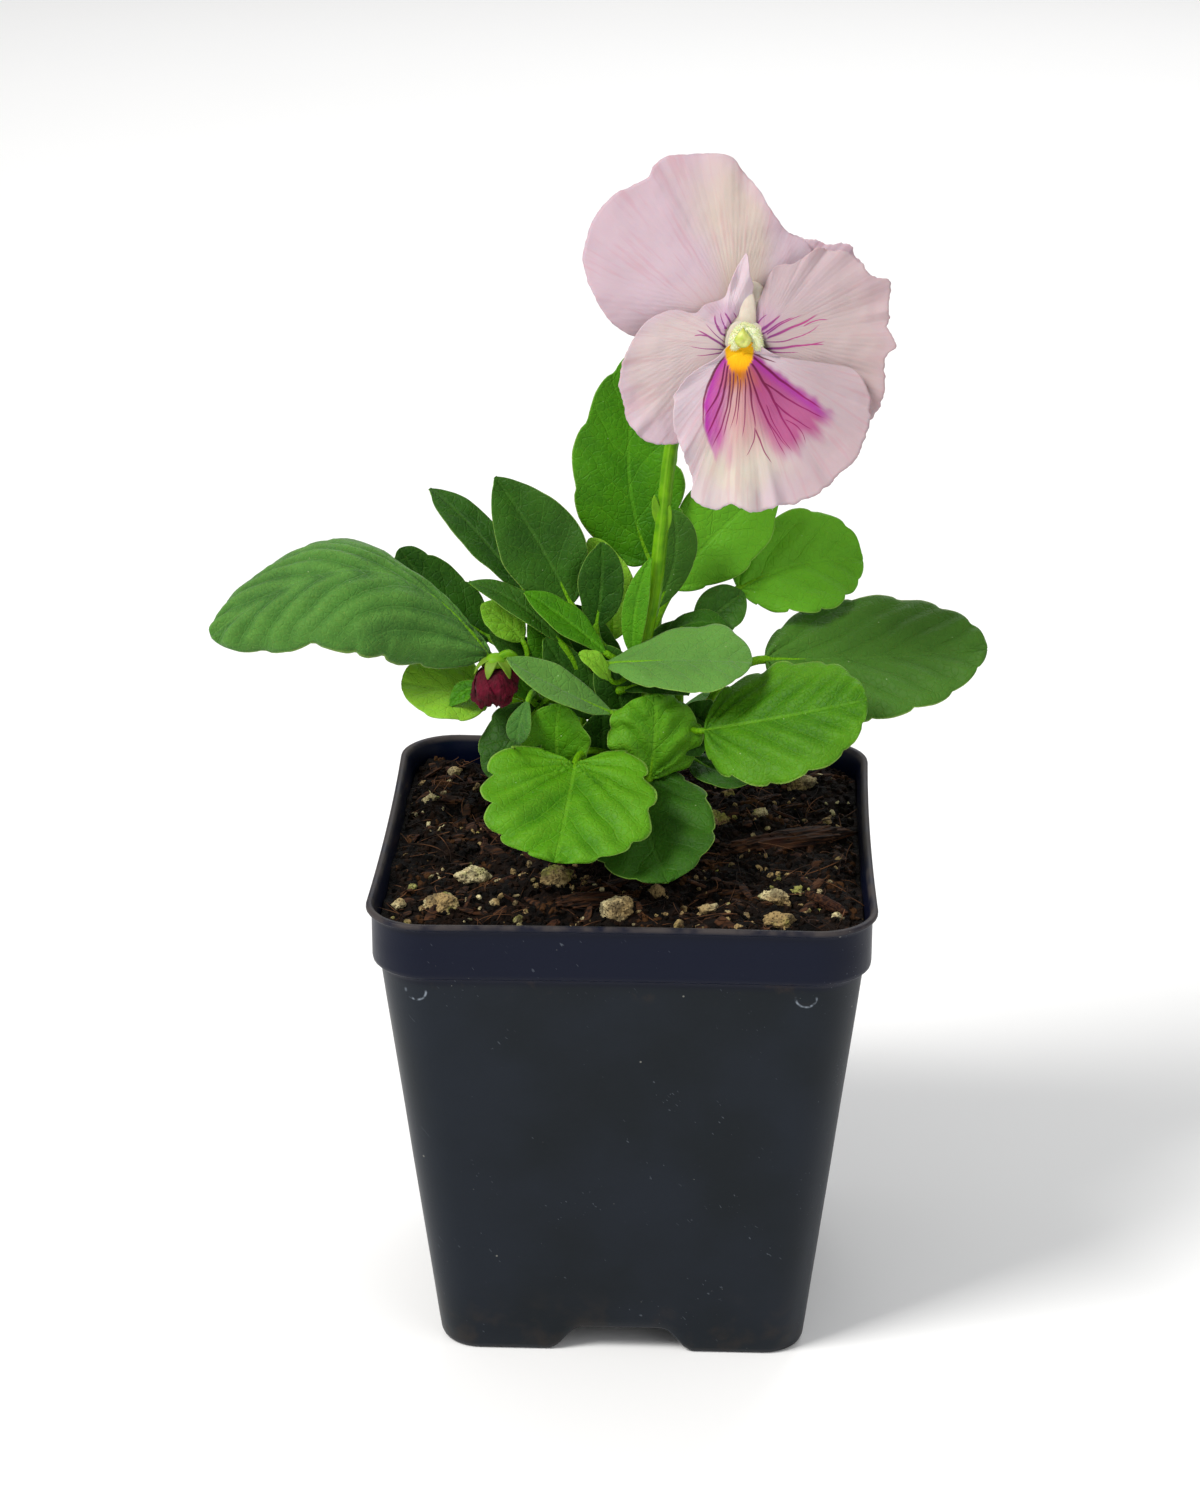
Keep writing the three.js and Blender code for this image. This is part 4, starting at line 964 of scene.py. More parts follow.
class PANSY_OT_litter(bpy.types.Operator):
    """Strew crumbs, pumice specks, bark chips and fibres over the potting mix"""

    bl_idname = "pansy.litter"
    bl_label = "Litter"

    def execute(self, context):
        settings = context.scene.pansy_mix
        ground = open_ground()
        for name, setting, each, sources, finish, seed, tilt, sink, smallest, largest, slot in LITTER:
            tree = scatter_tree(name, sources, finish())
            piece = scattered(
                name, ground, tree, density=getattr(settings, setting) * each, seed=seed, tilt=tilt,
                sink=sink * MM, smallest=in_metres(smallest), largest=in_metres(largest))
            settle(piece, slot)
        return {"FINISHED"}


# ---- Stem and shoots ----

SHOOTS = {
    "main": [(0, 3, 84), (0.5, 3.5, 98), (1.5, 3.5, 112), (2.6, 1, 123)],
    "left": [(0, 2.5, 90), (-6, 1.5, 100), (-13, 0, 110), (-19, -1, 117)],
    "right": [(0.5, 2, 90), (5, 0, 98), (9, -2, 105), (12, -3, 111)],
}
ROOTS = [
    ([(0, 3, 86), (1, 3, 70), (-1, 2, 52), (1, 1, 34)], 2.2),
    ([(0, 3, 82), (9, -3, 76), (20, -8, 62), (26, -14, 44)], 1.2),
    ([(0, 3, 80), (-10, 6, 74), (-21, 12, 58), (-25, 14, 38)], 1.2),
    ([(0, 3, 76), (-5, -8, 68), (-10, -20, 52), (-12, -25, 34)], 1.1),
    ([(0, 3, 72), (8, 12, 64), (15, 22, 48), (17, 26, 30)], 1.1),
]
SHOOT_RADII = {"main": (2.3, 1.7), "left": (1.7, 1.4), "right": (1.7, 1.4)}
CURVE_POINTS = 61
ROOT_POINTS = 28
AGED = 1.0  # age of the roots, which are brown; the green stalks have age 0


def shoot_curve(name):
    return smooth_curve(SHOOTS[name], CURVE_POINTS)


def ribbed(ribs, depth):
    """Cross-section with rounded ribs."""
    return lambda angle: 1 + depth * np.cos(ribs * angle)


def stem_material(settings, name):
    """Fresh green with pale ridges along it; the layer called stalk has the way round and the age."""
    graph = material_graph(name)
    around, _, age = graph.levels("stalk")
    ridges = graph.math("COSINE", around * 5).step(0.2, 0.95)
    blot = graph.noise(graph.place(), 2.5, 3)
    colour = graph.coats(
        settings.stem[:],
        (blot.step(0.3, 0.7), settings.stem_light[:]),
        (ridges * 0.3, tint(134, 178, 48)),
        (age * 0.7, tint(104, 96, 62)))
    return graph.surface(colour, 0.42 + blot * 0.15, ridges * 0.5 + blot, 0.12,
                         subsurface_weight=0.1, subsurface_scale=0.6 * MM, specular_ior_level=0.15)


def add_stalk(shell, points, radii, sides=14, section=None, age=0.0):
    """Adds a tube whose layer holds the way round and the age of each vertex."""
    vertices, faces = rounded_tube(points, radii, sides, section)
    rows = (len(vertices) - 2) // sides
    angle = np.tile(np.linspace(0, 2 * np.pi, sides, endpoint=False), rows)
    shell.add(vertices, faces, stalk=grid_of(np.append(angle, (0, 0)), 0, age))


class PlantSettings(bpy.types.PropertyGroup):
    stem: colour_setting("Stem", "Colour of the stem and the stalks", tint(78, 132, 6))
    stem_light: colour_setting("Stem, Light", "Lighter colour of the stem and the stalks", tint(102, 156, 10))
    blade_thickness: bpy.props.FloatProperty(
        name="Blade Thickness", description="Thickness of a leaf blade at its midrib",
        default=0.34 * MM, min=0.1 * MM, max=1 * MM, unit="LENGTH")


class PANSY_OT_stem(bpy.types.Operator):
    """Make the short main stem with its shoots and roots"""

    bl_idname = "pansy.stem"
    bl_label = "Stem"

    def execute(self, context):
        settings = context.scene.pansy_plant
        shell = Shell()
        knots = 1 + 0.14 * np.exp(-(((np.linspace(0, 4.5, CURVE_POINTS) % 1) - 0.5) / 0.13) ** 2)
        for name, ends in SHOOT_RADII.items():
            radii = np.linspace(*ends, CURVE_POINTS) * knots
            add_stalk(shell, shoot_curve(name), radii, 20, ribbed(5, 0.05))
        for points, radius in ROOTS:
            path = smooth_curve(points, ROOT_POINTS)
            wander = 0.5 * np.stack([rough(path + k, 7.0, 2, k) for k in range(3)], axis=1)
            radii = np.linspace(radius, 0.5, ROOT_POINTS) * (1 + 0.1 * rough(path, 2.0, 2, 5))
            wander = wander * np.linspace(0, 1, ROOT_POINTS)[:, None]
            add_stalk(shell, path + wander, radii, 10, age=AGED)
        piece = shell.object("stem_and_roots", stem_material(settings, "stem green"))
        settle(piece, "stem_green", "stem_with_roots")
        return {"FINISHED"}


# ---- Leaves ----


# It grows from a shoot at a share of its length; its midrib runs from base over middle to tip; face
# is the way its upper side looks; width is across both halves.
LEAF_COLUMNS = ("name", "shoot", "at", "tone", "base", "middle", "tip", "face", "width")
# belly is where it is widest and full how blunt it is; lobe is how far its base reaches back; teeth
# and tooth are the number and depth of its teeth on each side; fold lifts the sides, droop lowers the
# margin, cup lifts the base and slim narrows one half towards the base; wave and waves ripple the
# margin; veins are the side veins on the midrib, fan those that start at the base and lean how
# steeply they run to the tip; quilt and crinkle are the relief; petiole is the radius of its stalk;
# shade makes it lighter or darker than its tone.
# quilt also sets a painted highlight on the crowns of the cells; shade is partly the leaf's own colour and
# partly painted light and shade for how brightly the leaf is lit.
LEAF_DEFAULTS = {
    "belly": 0.5, "full": 0.6, "lobe": 0.0, "teeth": 0, "tooth": 0.5, "fold": 0.18, "droop": 0.0,
    "cup": 0.0, "slim": 0.0, "wave": 0.05, "waves": 2.5, "quilt": 0.35, "veins": 4, "fan": 1.0,
    "lean": 1.15, "crinkle": 0.25, "petiole": 0.8, "shade": 0.0,
}


def leaf(*columns, **more):
    return {**LEAF_DEFAULTS, **dict(zip(LEAF_COLUMNS, columns)), **more}


def young(*columns, teeth=2, tooth=0.3, **more):
    return leaf("young", *columns, petiole=0.5, teeth=teeth, tooth=tooth, **more)


LEAVES = [
    leaf("leaf_left_long", "left", 0.95, "grey", (-25, -2, 124), (-47, -4, 140.4), (-73.5, -8, 128.7),
         (-0.1, -0.5, 0.87), 29.5, belly=0.48, full=0.48, lobe=2, teeth=7, tooth=1.3, fold=0.04, droop=0.48,
         quilt=1.4, veins=6, fan=1.8, lean=2.2, wave=0.03, crinkle=0.6, slim=0.75, shade=-0.1),
    leaf("leaf_left_rear", "left", 0.8, "dark", (-25, 6, 124), (-33.6, 8, 130), (-41.6, 10, 139.6),
         (-0.3, -0.4, 0.85), 12.2, teeth=4, tooth=0.7, full=0.5),
    leaf("leaf_upper_left_narrow", "left", 0.55, "dark", (-18, 8, 131), (-28, 15, 141), (-37, 22, 147),
         (0.35, -0.7, 0.6), 8.2, full=0.75, teeth=2, tooth=0.3),
    leaf("leaf_upper_left_broad", "main", 0.8, "dark", (-10.5, 5, 131), (-16.4, 8, 141.7), (-24.3, 11, 153),
         (0.05, -0.9, 0.4), 15.2, belly=0.45, full=0.75, teeth=3, tooth=0.3, fold=0.24, shade=0.2),
    leaf("leaf_middle_small", "main", 0.85, "dark", (-6, 3, 127.5), (-5, 4, 135.5), (-5, 5, 143),
         (0, -1, 0.2), 8.5, teeth=2, tooth=0.3),
    leaf("leaf_middle_pale", "main", 0.75, "pale", (-3.5, 10, 122.5), (-4, 11, 132), (-7.5, 13, 141),
         (0, -1, 0.2), 10, teeth=3, tooth=0.35, shade=1.8),
    leaf("leaf_tall_round", "main", 0.55, "mid", (3.5, 12, 137), (-0.6, 16, 154.5), (2.6, 18, 174.5),
         (-0.1, -0.95, 0.2), 20, belly=0.42, full=0.55, lobe=1, teeth=6, tooth=1.1, veins=5),
    leaf("leaf_stalk_right", "main", 0.95, "dark", (4.5, 4, 130.5), (8, 5, 140), (7.5, 7, 148.5),
         (0.1, -1, 0.2), 7.5, belly=0.6, teeth=2, tooth=0.3, shade=0.6),
    leaf("leaf_behind_lip", "main", 0.8, "mid", (7.5, 10, 132.5), (16, 14, 142.5), (26, 18, 149.5),
         (0.1, -0.9, 0.35), 17, teeth=4, tooth=0.6, shade=1.5),
    leaf("leaf_right_upper", "main", 0.45, "mid", (19.5, 12, 132), (31, 17, 135.3), (42, 22, 134.4),
         (0, -0.75, 0.65), 21, full=0.5, lobe=1, teeth=6, tooth=0.9, crinkle=0.6, quilt=0.7, shade=1.5),
    leaf("leaf_right_long", "right", 0.9, "dark", (24.5, 4, 121.5), (43.5, 5, 121.7), (64, 3, 124.4),
         (0.05, -0.55, 0.83), 27, full=0.5, lobe=1, teeth=8, tooth=0.9, veins=5, fan=1.5,
         lean=1.8, droop=0.15, quilt=1.1, shade=1.3),
    leaf("leaf_right_front", "right", 0.95, "bright", (14, -12, 114), (28.5, -16, 118.5), (42, -18, 122.5),
         (0.1, -0.6, 0.8), 25, belly=0.45, full=0.45, lobe=1, teeth=7, tooth=1.0, veins=5, fan=2,
         fold=0.04, droop=0.14, quilt=0.9, lean=1.4, petiole=0.6, shade=-1.0),
    leaf("leaf_right_small", "right", 0.75, "dark", (11.5, 3, 125), (16, 5, 130), (20.5, 7, 133),
         (-0.1, -0.8, 0.6), 9, belly=0.55, teeth=2, tooth=0.3, shade=0.2),
    leaf("leaf_centre_grey", "main", 0.9, "grey", (-4, -6, 124), (10, -9, 126), (22, -11, 126.5),
         (0.1, -0.45, 0.89), 17, belly=0.6, full=0.55, teeth=5, tooth=0.5, quilt=0.4, veins=6,
         droop=0.12, shade=0.8),
    leaf("leaf_centre_rear", "main", 0.9, "dark", (6, 1, 126), (12, 0.5, 129.5), (18, 0, 128.5),
         (0.1, -0.4, 0.9), 6, full=0.7),
    leaf("leaf_centre_under", "main", 0.82, "dark", (-1, -3, 118), (5, -4, 119.5), (11, -5, 118),
         (0, -0.5, 0.85), 5, full=0.7),
    leaf("leaf_front_crinkled", "main", 0.5, "bright", (4, -10, 104), (5, -10.5, 112), (5, -9, 119.5),
         (0.1, -0.95, 0.25), 17, full=0.45, lobe=2, teeth=5, tooth=0.8, wave=0.1, waves=3.5,
         quilt=1.0, crinkle=0.6, veins=3, fan=2, fold=0.05, droop=0.3, shade=0.2),
    leaf("leaf_front_heart", "main", 0.4, "bright", (-9, -14.5, 108), (-10, -25.5, 103.5), (-11.5, -34.5, 98),
         (0, -0.45, 0.9), 31, full=0.45, lobe=10, teeth=7, tooth=2.0, veins=3, fan=2.6,
         fold=0.1, droop=0.05, cup=0.25, quilt=1.3, petiole=0.6, shade=-0.1),
    leaf("leaf_front_dark", "main", 0.3, "dark", (2, -8, 104), (4.2, -20, 98), (8, -31, 93),
         (0.05, -0.5, 0.87), 24, full=0.45, lobe=4, teeth=6, tooth=1.1, veins=3, fan=2.4,
         quilt=0.8, shade=0.2),
    leaf("leaf_right_low", "right", 0.5, "dark", (11, -2, 105), (17, -6, 103.5), (23.5, -9, 104),
         (0, -0.5, 0.87), 8, teeth=2, tooth=0.3),
    leaf("leaf_left_low", "left", 0.5, "dark", (-15, -2, 115), (-20, -6, 110), (-24.5, -10, 103.5),
         (-0.3, -0.7, 0.6), 12, teeth=4, tooth=0.6, shade=0.2),
    leaf("stipule_left_front", "left", 0.9, "grey", (-17.5, -9, 118), (-19, -11, 113.5), (-19.2, -11, 110.5),
         (-0.3, -0.9, 0.3), 4.5, full=0.7, petiole=0.5),
    leaf("leaf_front_inner", "left", 0.25, "bright", (-12, -8, 104), (-12.5, -9, 110.5), (-12, -8, 117),
         (-0.1, -0.9, 0.4), 12.5, full=0.5, lobe=1, teeth=3, crinkle=0.15, shade=-0.1),
    leaf("leaf_left_pale", "left", 0.7, "pale", (-25, -1, 115.5), (-32.5, -2, 117), (-40.5, -3, 118.7),
         (-0.1, -0.5, 0.85), 15, full=0.4, teeth=4, tooth=0.7, shade=1.8),
    leaf("stipule_bud", "left", 0.85, "mid", (-26, -5, 118.5), (-29, -5, 118), (-31.5, -6, 115.5),
         (0, -0.6, 0.8), 4, full=0.7, petiole=0.5),
    leaf("leaf_left_grey", "main", 0.72, "grey", (-2.5, -8, 115.5), (-12.5, -11, 121.5), (-21, -12, 127),
         (0, -0.55, 0.83), 7.5, full=0.75, shade=0.9, fold=0.3),
    leaf("leaf_left_narrow", "left", 0.45, "dark", (-12, -1, 126), (-20, 0, 133), (-28.5, 1, 136.5),
         (0, -0.5, 0.86), 5.5, full=0.75, petiole=0.6, shade=0.3),
    leaf("leaf_middle_narrow", "main", 0.92, "mid", (-4, -3, 125), (-11.5, -2, 131), (-18.5, -1, 135.5),
         (0, -0.5, 0.86), 6.5, full=0.75, petiole=0.6, shade=-0.3),
    leaf("stipule_left_pale", "left", 0.98, "pale", (-19, 1, 125.5), (-22.5, 2, 129), (-26.5, 3, 131.5),
         (0, -0.5, 0.86), 7.5, full=0.6, petiole=0.5, shade=0.8),
    leaf("leaf_right_inner", "right", 0.6, "dark", (8, -6, 114.5), (11, -7, 111), (13, -8, 107.5),
         (0, -0.7, 0.7), 7, teeth=2, tooth=0.3),
    leaf("stipule_stalk", "main", 0.98, "mid", (1, -3, 124.5), (1.5, -3, 134.5), (4, -2, 142.5),
         (-0.2, -1, 0.1), 4.6, belly=0.4, full=0.75, petiole=0.5, shade=0.4),
    leaf("stipule_front", "main", 0.9, "pale", (-3, -7, 121.5), (-5.5, -8.5, 125), (-8.5, -9, 127),
         (0, -0.6, 0.8), 4.2, petiole=0.45, crinkle=0.8, teeth=3, tooth=0.3, shade=1.4),
    leaf("leaf_rear_middle", "main", 0.35, "mid", (1, 15, 103), (0, 26, 106), (-2, 38, 102),
         (0, 0.35, 0.94), 17, full=0.5, lobe=1, teeth=5, tooth=0.7),
    leaf("leaf_rear_left", "left", 0.3, "mid", (-11, 13, 102), (-18, 23, 105), (-26, 33, 101),
         (-0.25, 0.25, 0.94), 15, full=0.5, lobe=1, teeth=5, tooth=0.7),
    leaf("leaf_rear_right", "right", 0.3, "mid", (10, 12, 102), (18, 21, 105), (27, 30, 101),
         (0.25, 0.25, 0.94), 15, full=0.5, lobe=1, teeth=5, tooth=0.7),
]
# Young leaves that fill the crown between the larger ones.
YOUNG_LEAVES = [
    young("left", 0.35, "dark", (-6, -2, 112), (-10, -2, 119), (-15, -1.5, 127), (0.1, -0.8, 0.5), 8),
    young("main", 0.6, "dark", (-1, -2, 112), (-2, -2.5, 119), (-4, -2, 126), (0, -0.9, 0.3), 8.5,
          shade=-0.4),
    young("left", 0.7, "dark", (-14, 2, 117), (-19, 2.5, 122), (-25, 3, 126), (0, -0.6, 0.8), 6.5,
          teeth=0, shade=0.4),
    young("main", 0.62, "dark", (3, 4, 113), (6, 5, 121), (9, 6, 128), (0, -0.9, 0.3), 9, shade=-0.3),
    young("main", 0.62, "dark", (-3, 5, 113), (-7, 6.5, 122), (-11, 8, 130), (0, -0.9, 0.3), 10, shade=-0.3),
    young("right", 0.6, "dark", (7, -3, 106), (11, -4, 111), (15, -5, 117), (0, -0.9, 0.4), 8),
    young("left", 0.6, "mid", (-10, 1, 115), (-14, 2, 124), (-17, 3, 131), (0, -0.9, 0.4), 7.5, shade=-0.5),
    young("main", 0.35, "dark", (-5, -1.5, 97), (-4.5, -2.5, 105), (-4.5, -2.5, 114), (0, -0.9, 0.3), 11,
          teeth=3, tooth=0.4, shade=-0.3),
    young("left", 0.85, "mid", (-17, -4, 116), (-20, -4.5, 121), (-23.5, -4.5, 125), (0, -0.8, 0.6), 5,
          teeth=0, shade=0.2),
]
BLADE_COLUMNS = 29
MARGIN_THICKNESS = 0.12
STALK_POINTS = 48


def half_width(row, share):
    power = math.log(0.5) / math.log(row["belly"])
    wave = np.sin(np.pi * np.clip(share, 0, 1) ** power)
    return row["width"] / 2 * np.maximum(wave, 0) ** row["full"]


def rib_controls(row):
    base, middle, tip = (np.array(row[key], float) for key in ("base", "middle", "tip"))
    return [base, 2 * middle - (base + tip) / 2, tip]


def vein_phase(row, forward, outward):
    """Number of side veins up to a place on the blade, from its distance along and out from the
    midrib; a whole number is a vein. Those that start below the blade fan out from its base."""
    lean = row["lean"]
    length = np.linalg.norm(np.array(row["tip"], float) - np.array(row["base"], float))
    start = forward - lean * outward
    fan = row["fan"] * (forward / np.maximum(outward, 0.05) / lean - 1)
    return np.where(start > 0, row["veins"] * start / length, fan)


def leaf_blade(row, seed, thickness):
    """The blade with its toothed margin, folds and raised cells between veins: vertices, faces and
    layers, and the path of the rib under it."""
    teeth = row["teeth"]
    rows = 11 * max(teeth, 4) + 1
    turn = np.linspace(0, 1, rows)
    share = (1 - np.cos(np.pi * turn)) / 2
    across = np.linspace(-1, 1, BLADE_COLUMNS)
    rib = bezier(rib_controls(row), share)
    way, side, normal = blade_ways(rib, row["face"])
    half = np.maximum(half_width(row, share), 0.35)
    v, u = share[:, None], across[None, :]
    size = half[:, None]
    reach = np.abs(u)
    is_left = np.where(u < 0, 1.0, 0.0)
    wander = 1 + 0.05 * noise(grid_of(v * 5 + 17.3 * is_left, 0.0), seed)
    notch = 0.0
    if teeth:
        part = (teeth * turn[:, None] + 0.35 * is_left) % 1
        crest = np.minimum(1, part / 0.5) ** 0.7 * (1 - part**7) ** 0.6
        ends = smooth(0.0, 0.08, v) * smooth(0, 0.04, 1 - v)
        notch = row["tooth"] * (crest - 0.85) * ends * reach**5
    out = u * size * wander + np.sign(u) * notch
    out = out * np.where(u > 0, 1 - row["slim"] * (1 - smooth(0.1, 0.75, v)), 1)
    bend = np.sqrt(reach**2 + 0.02) - math.sqrt(0.02)
    thin = smooth(0, 0.3, v)
    lift = size * (row["fold"] * bend * thin - row["droop"] * reach**2)
    lift = lift + row["cup"] * size * reach**2 * (1 - v) ** 2
    ripple = np.sin(2 * np.pi * row["waves"] * v + seed + 2.1 * is_left)
    lift = lift + row["wave"] * size * reach**2.5 * ripple
    back = row["lobe"] * (1 - v) ** 2 * np.minimum(1, 2 * size / row["width"])
    length = np.linalg.norm(rib[-1] - rib[0])
    phase = vein_phase(row, v * length - back * u**2, reach * size) + 0.4 * is_left
    phase = phase + 0.12 * rough(grid_of(v * 4, u * 3), 1.0, 2, seed)
    cell = np.sin(np.pi * phase) ** 2 * 0.75 * min(1.0, row["width"] / 16)
    inner = smooth(0.02, 0.3, reach) * (1 - reach**4) * smooth(0.3, 3, size)
    lift = lift + row["quilt"] * cell * inner
    surface = (
        rib[:, None] + side[:, None] * out[..., None] + normal[:, None] * lift[..., None]
        - way[:, None] * (back * u**2)[..., None]
    )
    dents = rough(surface, 5.0, 3, seed) * row["crinkle"] * smooth(0.3, 4, size) * (0.3 + 0.7 * reach)
    surface = surface + normal[:, None] * dents[..., None]
    body = np.where(reach > 0.99, MARGIN_THICKNESS, thickness * (1 - 0.4 * reach**2))[..., None] / 2
    layers = {
        "blade": np.vstack([grid_of(u, v, phase).reshape(-1, 3)] * 2),
        "skin": np.repeat([1.0, -1.0], rows * BLADE_COLUMNS),
        "aside": np.tile((reach * size).ravel(), 2),
    }
    under_rib = surface[:, BLADE_COLUMNS // 2] - normal * 0.2
    vertices = sheet_sides(surface, grid_normal(surface) * body)
    return vertices, sheet_faces(rows, BLADE_COLUMNS), layers, under_rib


def grooved(depth):
    """Round section with a groove along its upper side."""
    return lambda angle: 1 - depth * np.exp(-((np.minimum(angle, 2 * np.pi - angle) / 0.5) ** 2))


def leaf_stalk(row, under_rib):
    """Path and radii of the leaf's stalk and of the rib that goes on under its blade."""
    start = shoot_curve(row["shoot"])[int(round(row["at"] * (CURVE_POINTS - 1)))]
    rib = rib_controls(row)
    end, ahead = rib[0], unit(rib[1] - rib[0])
    reach = np.linalg.norm(end - start) / 3
    away = unit(unit(end - start) + np.array((0, 0, 0.6)))
    stalk = bezier([start, start + away * reach, end - ahead * reach, end], np.linspace(0, 1, 19))
    under_rib = under_rib[3::2]
    taper = np.linspace(1, 0.22, len(under_rib)) ** 1.3
    swell = 1 + 0.35 * np.exp(-np.linspace(0, 9, len(stalk)))
    radii = row["petiole"] * np.concatenate([swell, 0.75 * taper])
    path = respaced(np.vstack([stalk, under_rib]), STALK_POINTS, radii)
    return path[:, :3], path[:, 3]


LEAF_TINTS = {
    # tone: blade, darker blade, veins, underside, roughness
    "dark": ((42, 84, 14), (27, 62, 10), (80, 124, 46), (72, 112, 50), 0.45),
    "mid": ((64, 122, 8), (46, 98, 6), (102, 168, 40), (96, 142, 50), 0.45),
    "bright": ((70, 128, 10), (50, 104, 6), (116, 174, 44), (100, 148, 50), 0.42),
    "grey": ((62, 108, 40), (46, 88, 32), (112, 162, 72), (104, 140, 70), 0.55),
    "pale": ((94, 152, 24), (74, 128, 14), (132, 184, 54), (106, 160, 40), 0.45),
}


def leaf_material(tone):
    """Leaf green in patches, with veins, a pale net between them, a thin rim and a paler underside, with
    painted highlights on the quilted cells, painted light at the margins and painted light and shade over
    whole leaves.
    """
    *tints, roughness = LEAF_TINTS[tone]
    blade, dark, vein, under = (tint(*value) for value in tints)
    graph = material_graph("leaf " + tone)
    place = graph.place()
    u, v, phase = graph.levels("blade")
    skin, shade, aside = (graph.level(name) for name in ("skin", "shade", "aside"))
    reach = u.math("ABSOLUTE")
    side_vein = ((phase + 0.5).math("FRACT") - 0.5).math("ABSOLUTE")
    side_vein = (1 - side_vein.step(0.0, 0.055)) * (1 - reach.step(0.5, 1.0) * 0.8)
    midrib = 1 - aside.step(0.15, 0.5)
    # Painted highlight: the raised crowns of the quilted cells between the side veins are lightened.
    crown = (phase * math.pi).math("SINE").math("ABSOLUTE") ** 2 * graph.level("quilt").step(0.2, 2)
    net = 1 - graph.cells(place, 1.3, "DISTANCE_TO_EDGE").step(0.0, 0.14)
    fine = graph.noise(place, 0.35, 2)
    broad = graph.noise(place, 7, 3)
    margin = reach.step(0.972, 0.995)
    is_blade = skin.math("ABSOLUTE").step(0.4, 0.6)
    is_under = 1 - skin.step(-0.5, -0.4)
    specks = (1 - graph.cells(place, 2.6).step(0.025, 0.06)) * broad.step(0.4, 0.6)
    colour = graph.coats(
        dark,
        (broad.step(0.3, 0.7), blade),
        # The shade layer is partly the leaf's own colour and partly painted light and shade for how brightly
        # the leaf is lit.
        (shade.math("MAXIMUM", 0) * 0.45, vein),
        (shade.math("MINIMUM", 0) * -0.5, tuple(value * 0.6 for value in dark)),
        ((fine - 0.4).math("MAXIMUM", 0) * 0.5, vein),
        # Painted highlight on the crowns of the quilted cells.
        (crown * (0.15 + fine * 0.4) * (1 - reach.step(0.6, 1)), vein),
        (net * 0.05, vein),
        (side_vein * 0.18, vein),
        # Painted light: the blade is lightened towards its margins, where light shines through it.
        (reach.step(0.3, 1.0) * (0.26 if tone == "bright" else 0.12), vein),
        (midrib * (1 - v.step(0.3, 1.0) * 0.6) * (0.12 if tone == "grey" else 0.28), vein),
        (is_under * 0.62, under),
        (margin * 0.5, tint(150, 184, 92)),
        (specks * 0.5, tint(190, 206, 160)))
    stalk = graph.mix(fine.step(0.3, 0.7), tint(84, 138, 10), tint(108, 160, 24))
    relief = broad + fine * 0.22 - side_vein * 0.35 - midrib * 0.4 - net * 0.25
    return graph.surface(
        graph.mix(is_blade, stalk, colour), roughness + fine * 0.14, relief, 0.25,
        subsurface_weight=0.1, subsurface_scale=0.5 * MM, specular_ior_level=0.12,
        sheen_weight=0.12 if tone == "grey" else 0.0)


def add_leaf(shell, row, seed, thickness):
    """Adds a leaf's blade and its stalk to a shell."""
    vertices, faces, layers, under_rib = leaf_blade(row, seed, thickness)
    shell.add(vertices, faces, quilt=row["quilt"], shade=row["shade"], **layers)
    path, radii = leaf_stalk(row, under_rib)
    vertices, faces = rounded_tube(path, radii, 14, grooved(0.2), up=row["face"])
    shell.add(vertices, faces, blade=(0, 0, 0), skin=0.0, aside=9.0, quilt=0.0, shade=row["shade"])


class PANSY_OT_leaves(bpy.types.Operator):
    """Make every leaf and stipule, each one blade and stalk in one piece"""

    bl_idname = "pansy.leaves"
    bl_label = "Leaves"

    def execute(self, context):
        thickness = context.scene.pansy_plant.blade_thickness / MM
        finish = {tone: leaf_material(tone) for tone in LEAF_TINTS}
        for seed, row in enumerate(LEAVES):
            shell = Shell()
            add_leaf(shell, row, seed, thickness)
            piece = shell.object(row["name"] + "_blade", finish[row["tone"]])
            settle(piece, "leaf_" + row["tone"], row["name"])
        for tone in ("dark", "mid"):
            shell = Shell()
            for seed, row in enumerate(YOUNG_LEAVES, len(LEAVES)):
                if row["tone"] == tone:
                    add_leaf(shell, row, seed, thickness)
            settle(shell.object("young_leaves_" + tone, finish[tone]), "leaf_" + tone)
        return {"FINISHED"}


# ---- Flower ----

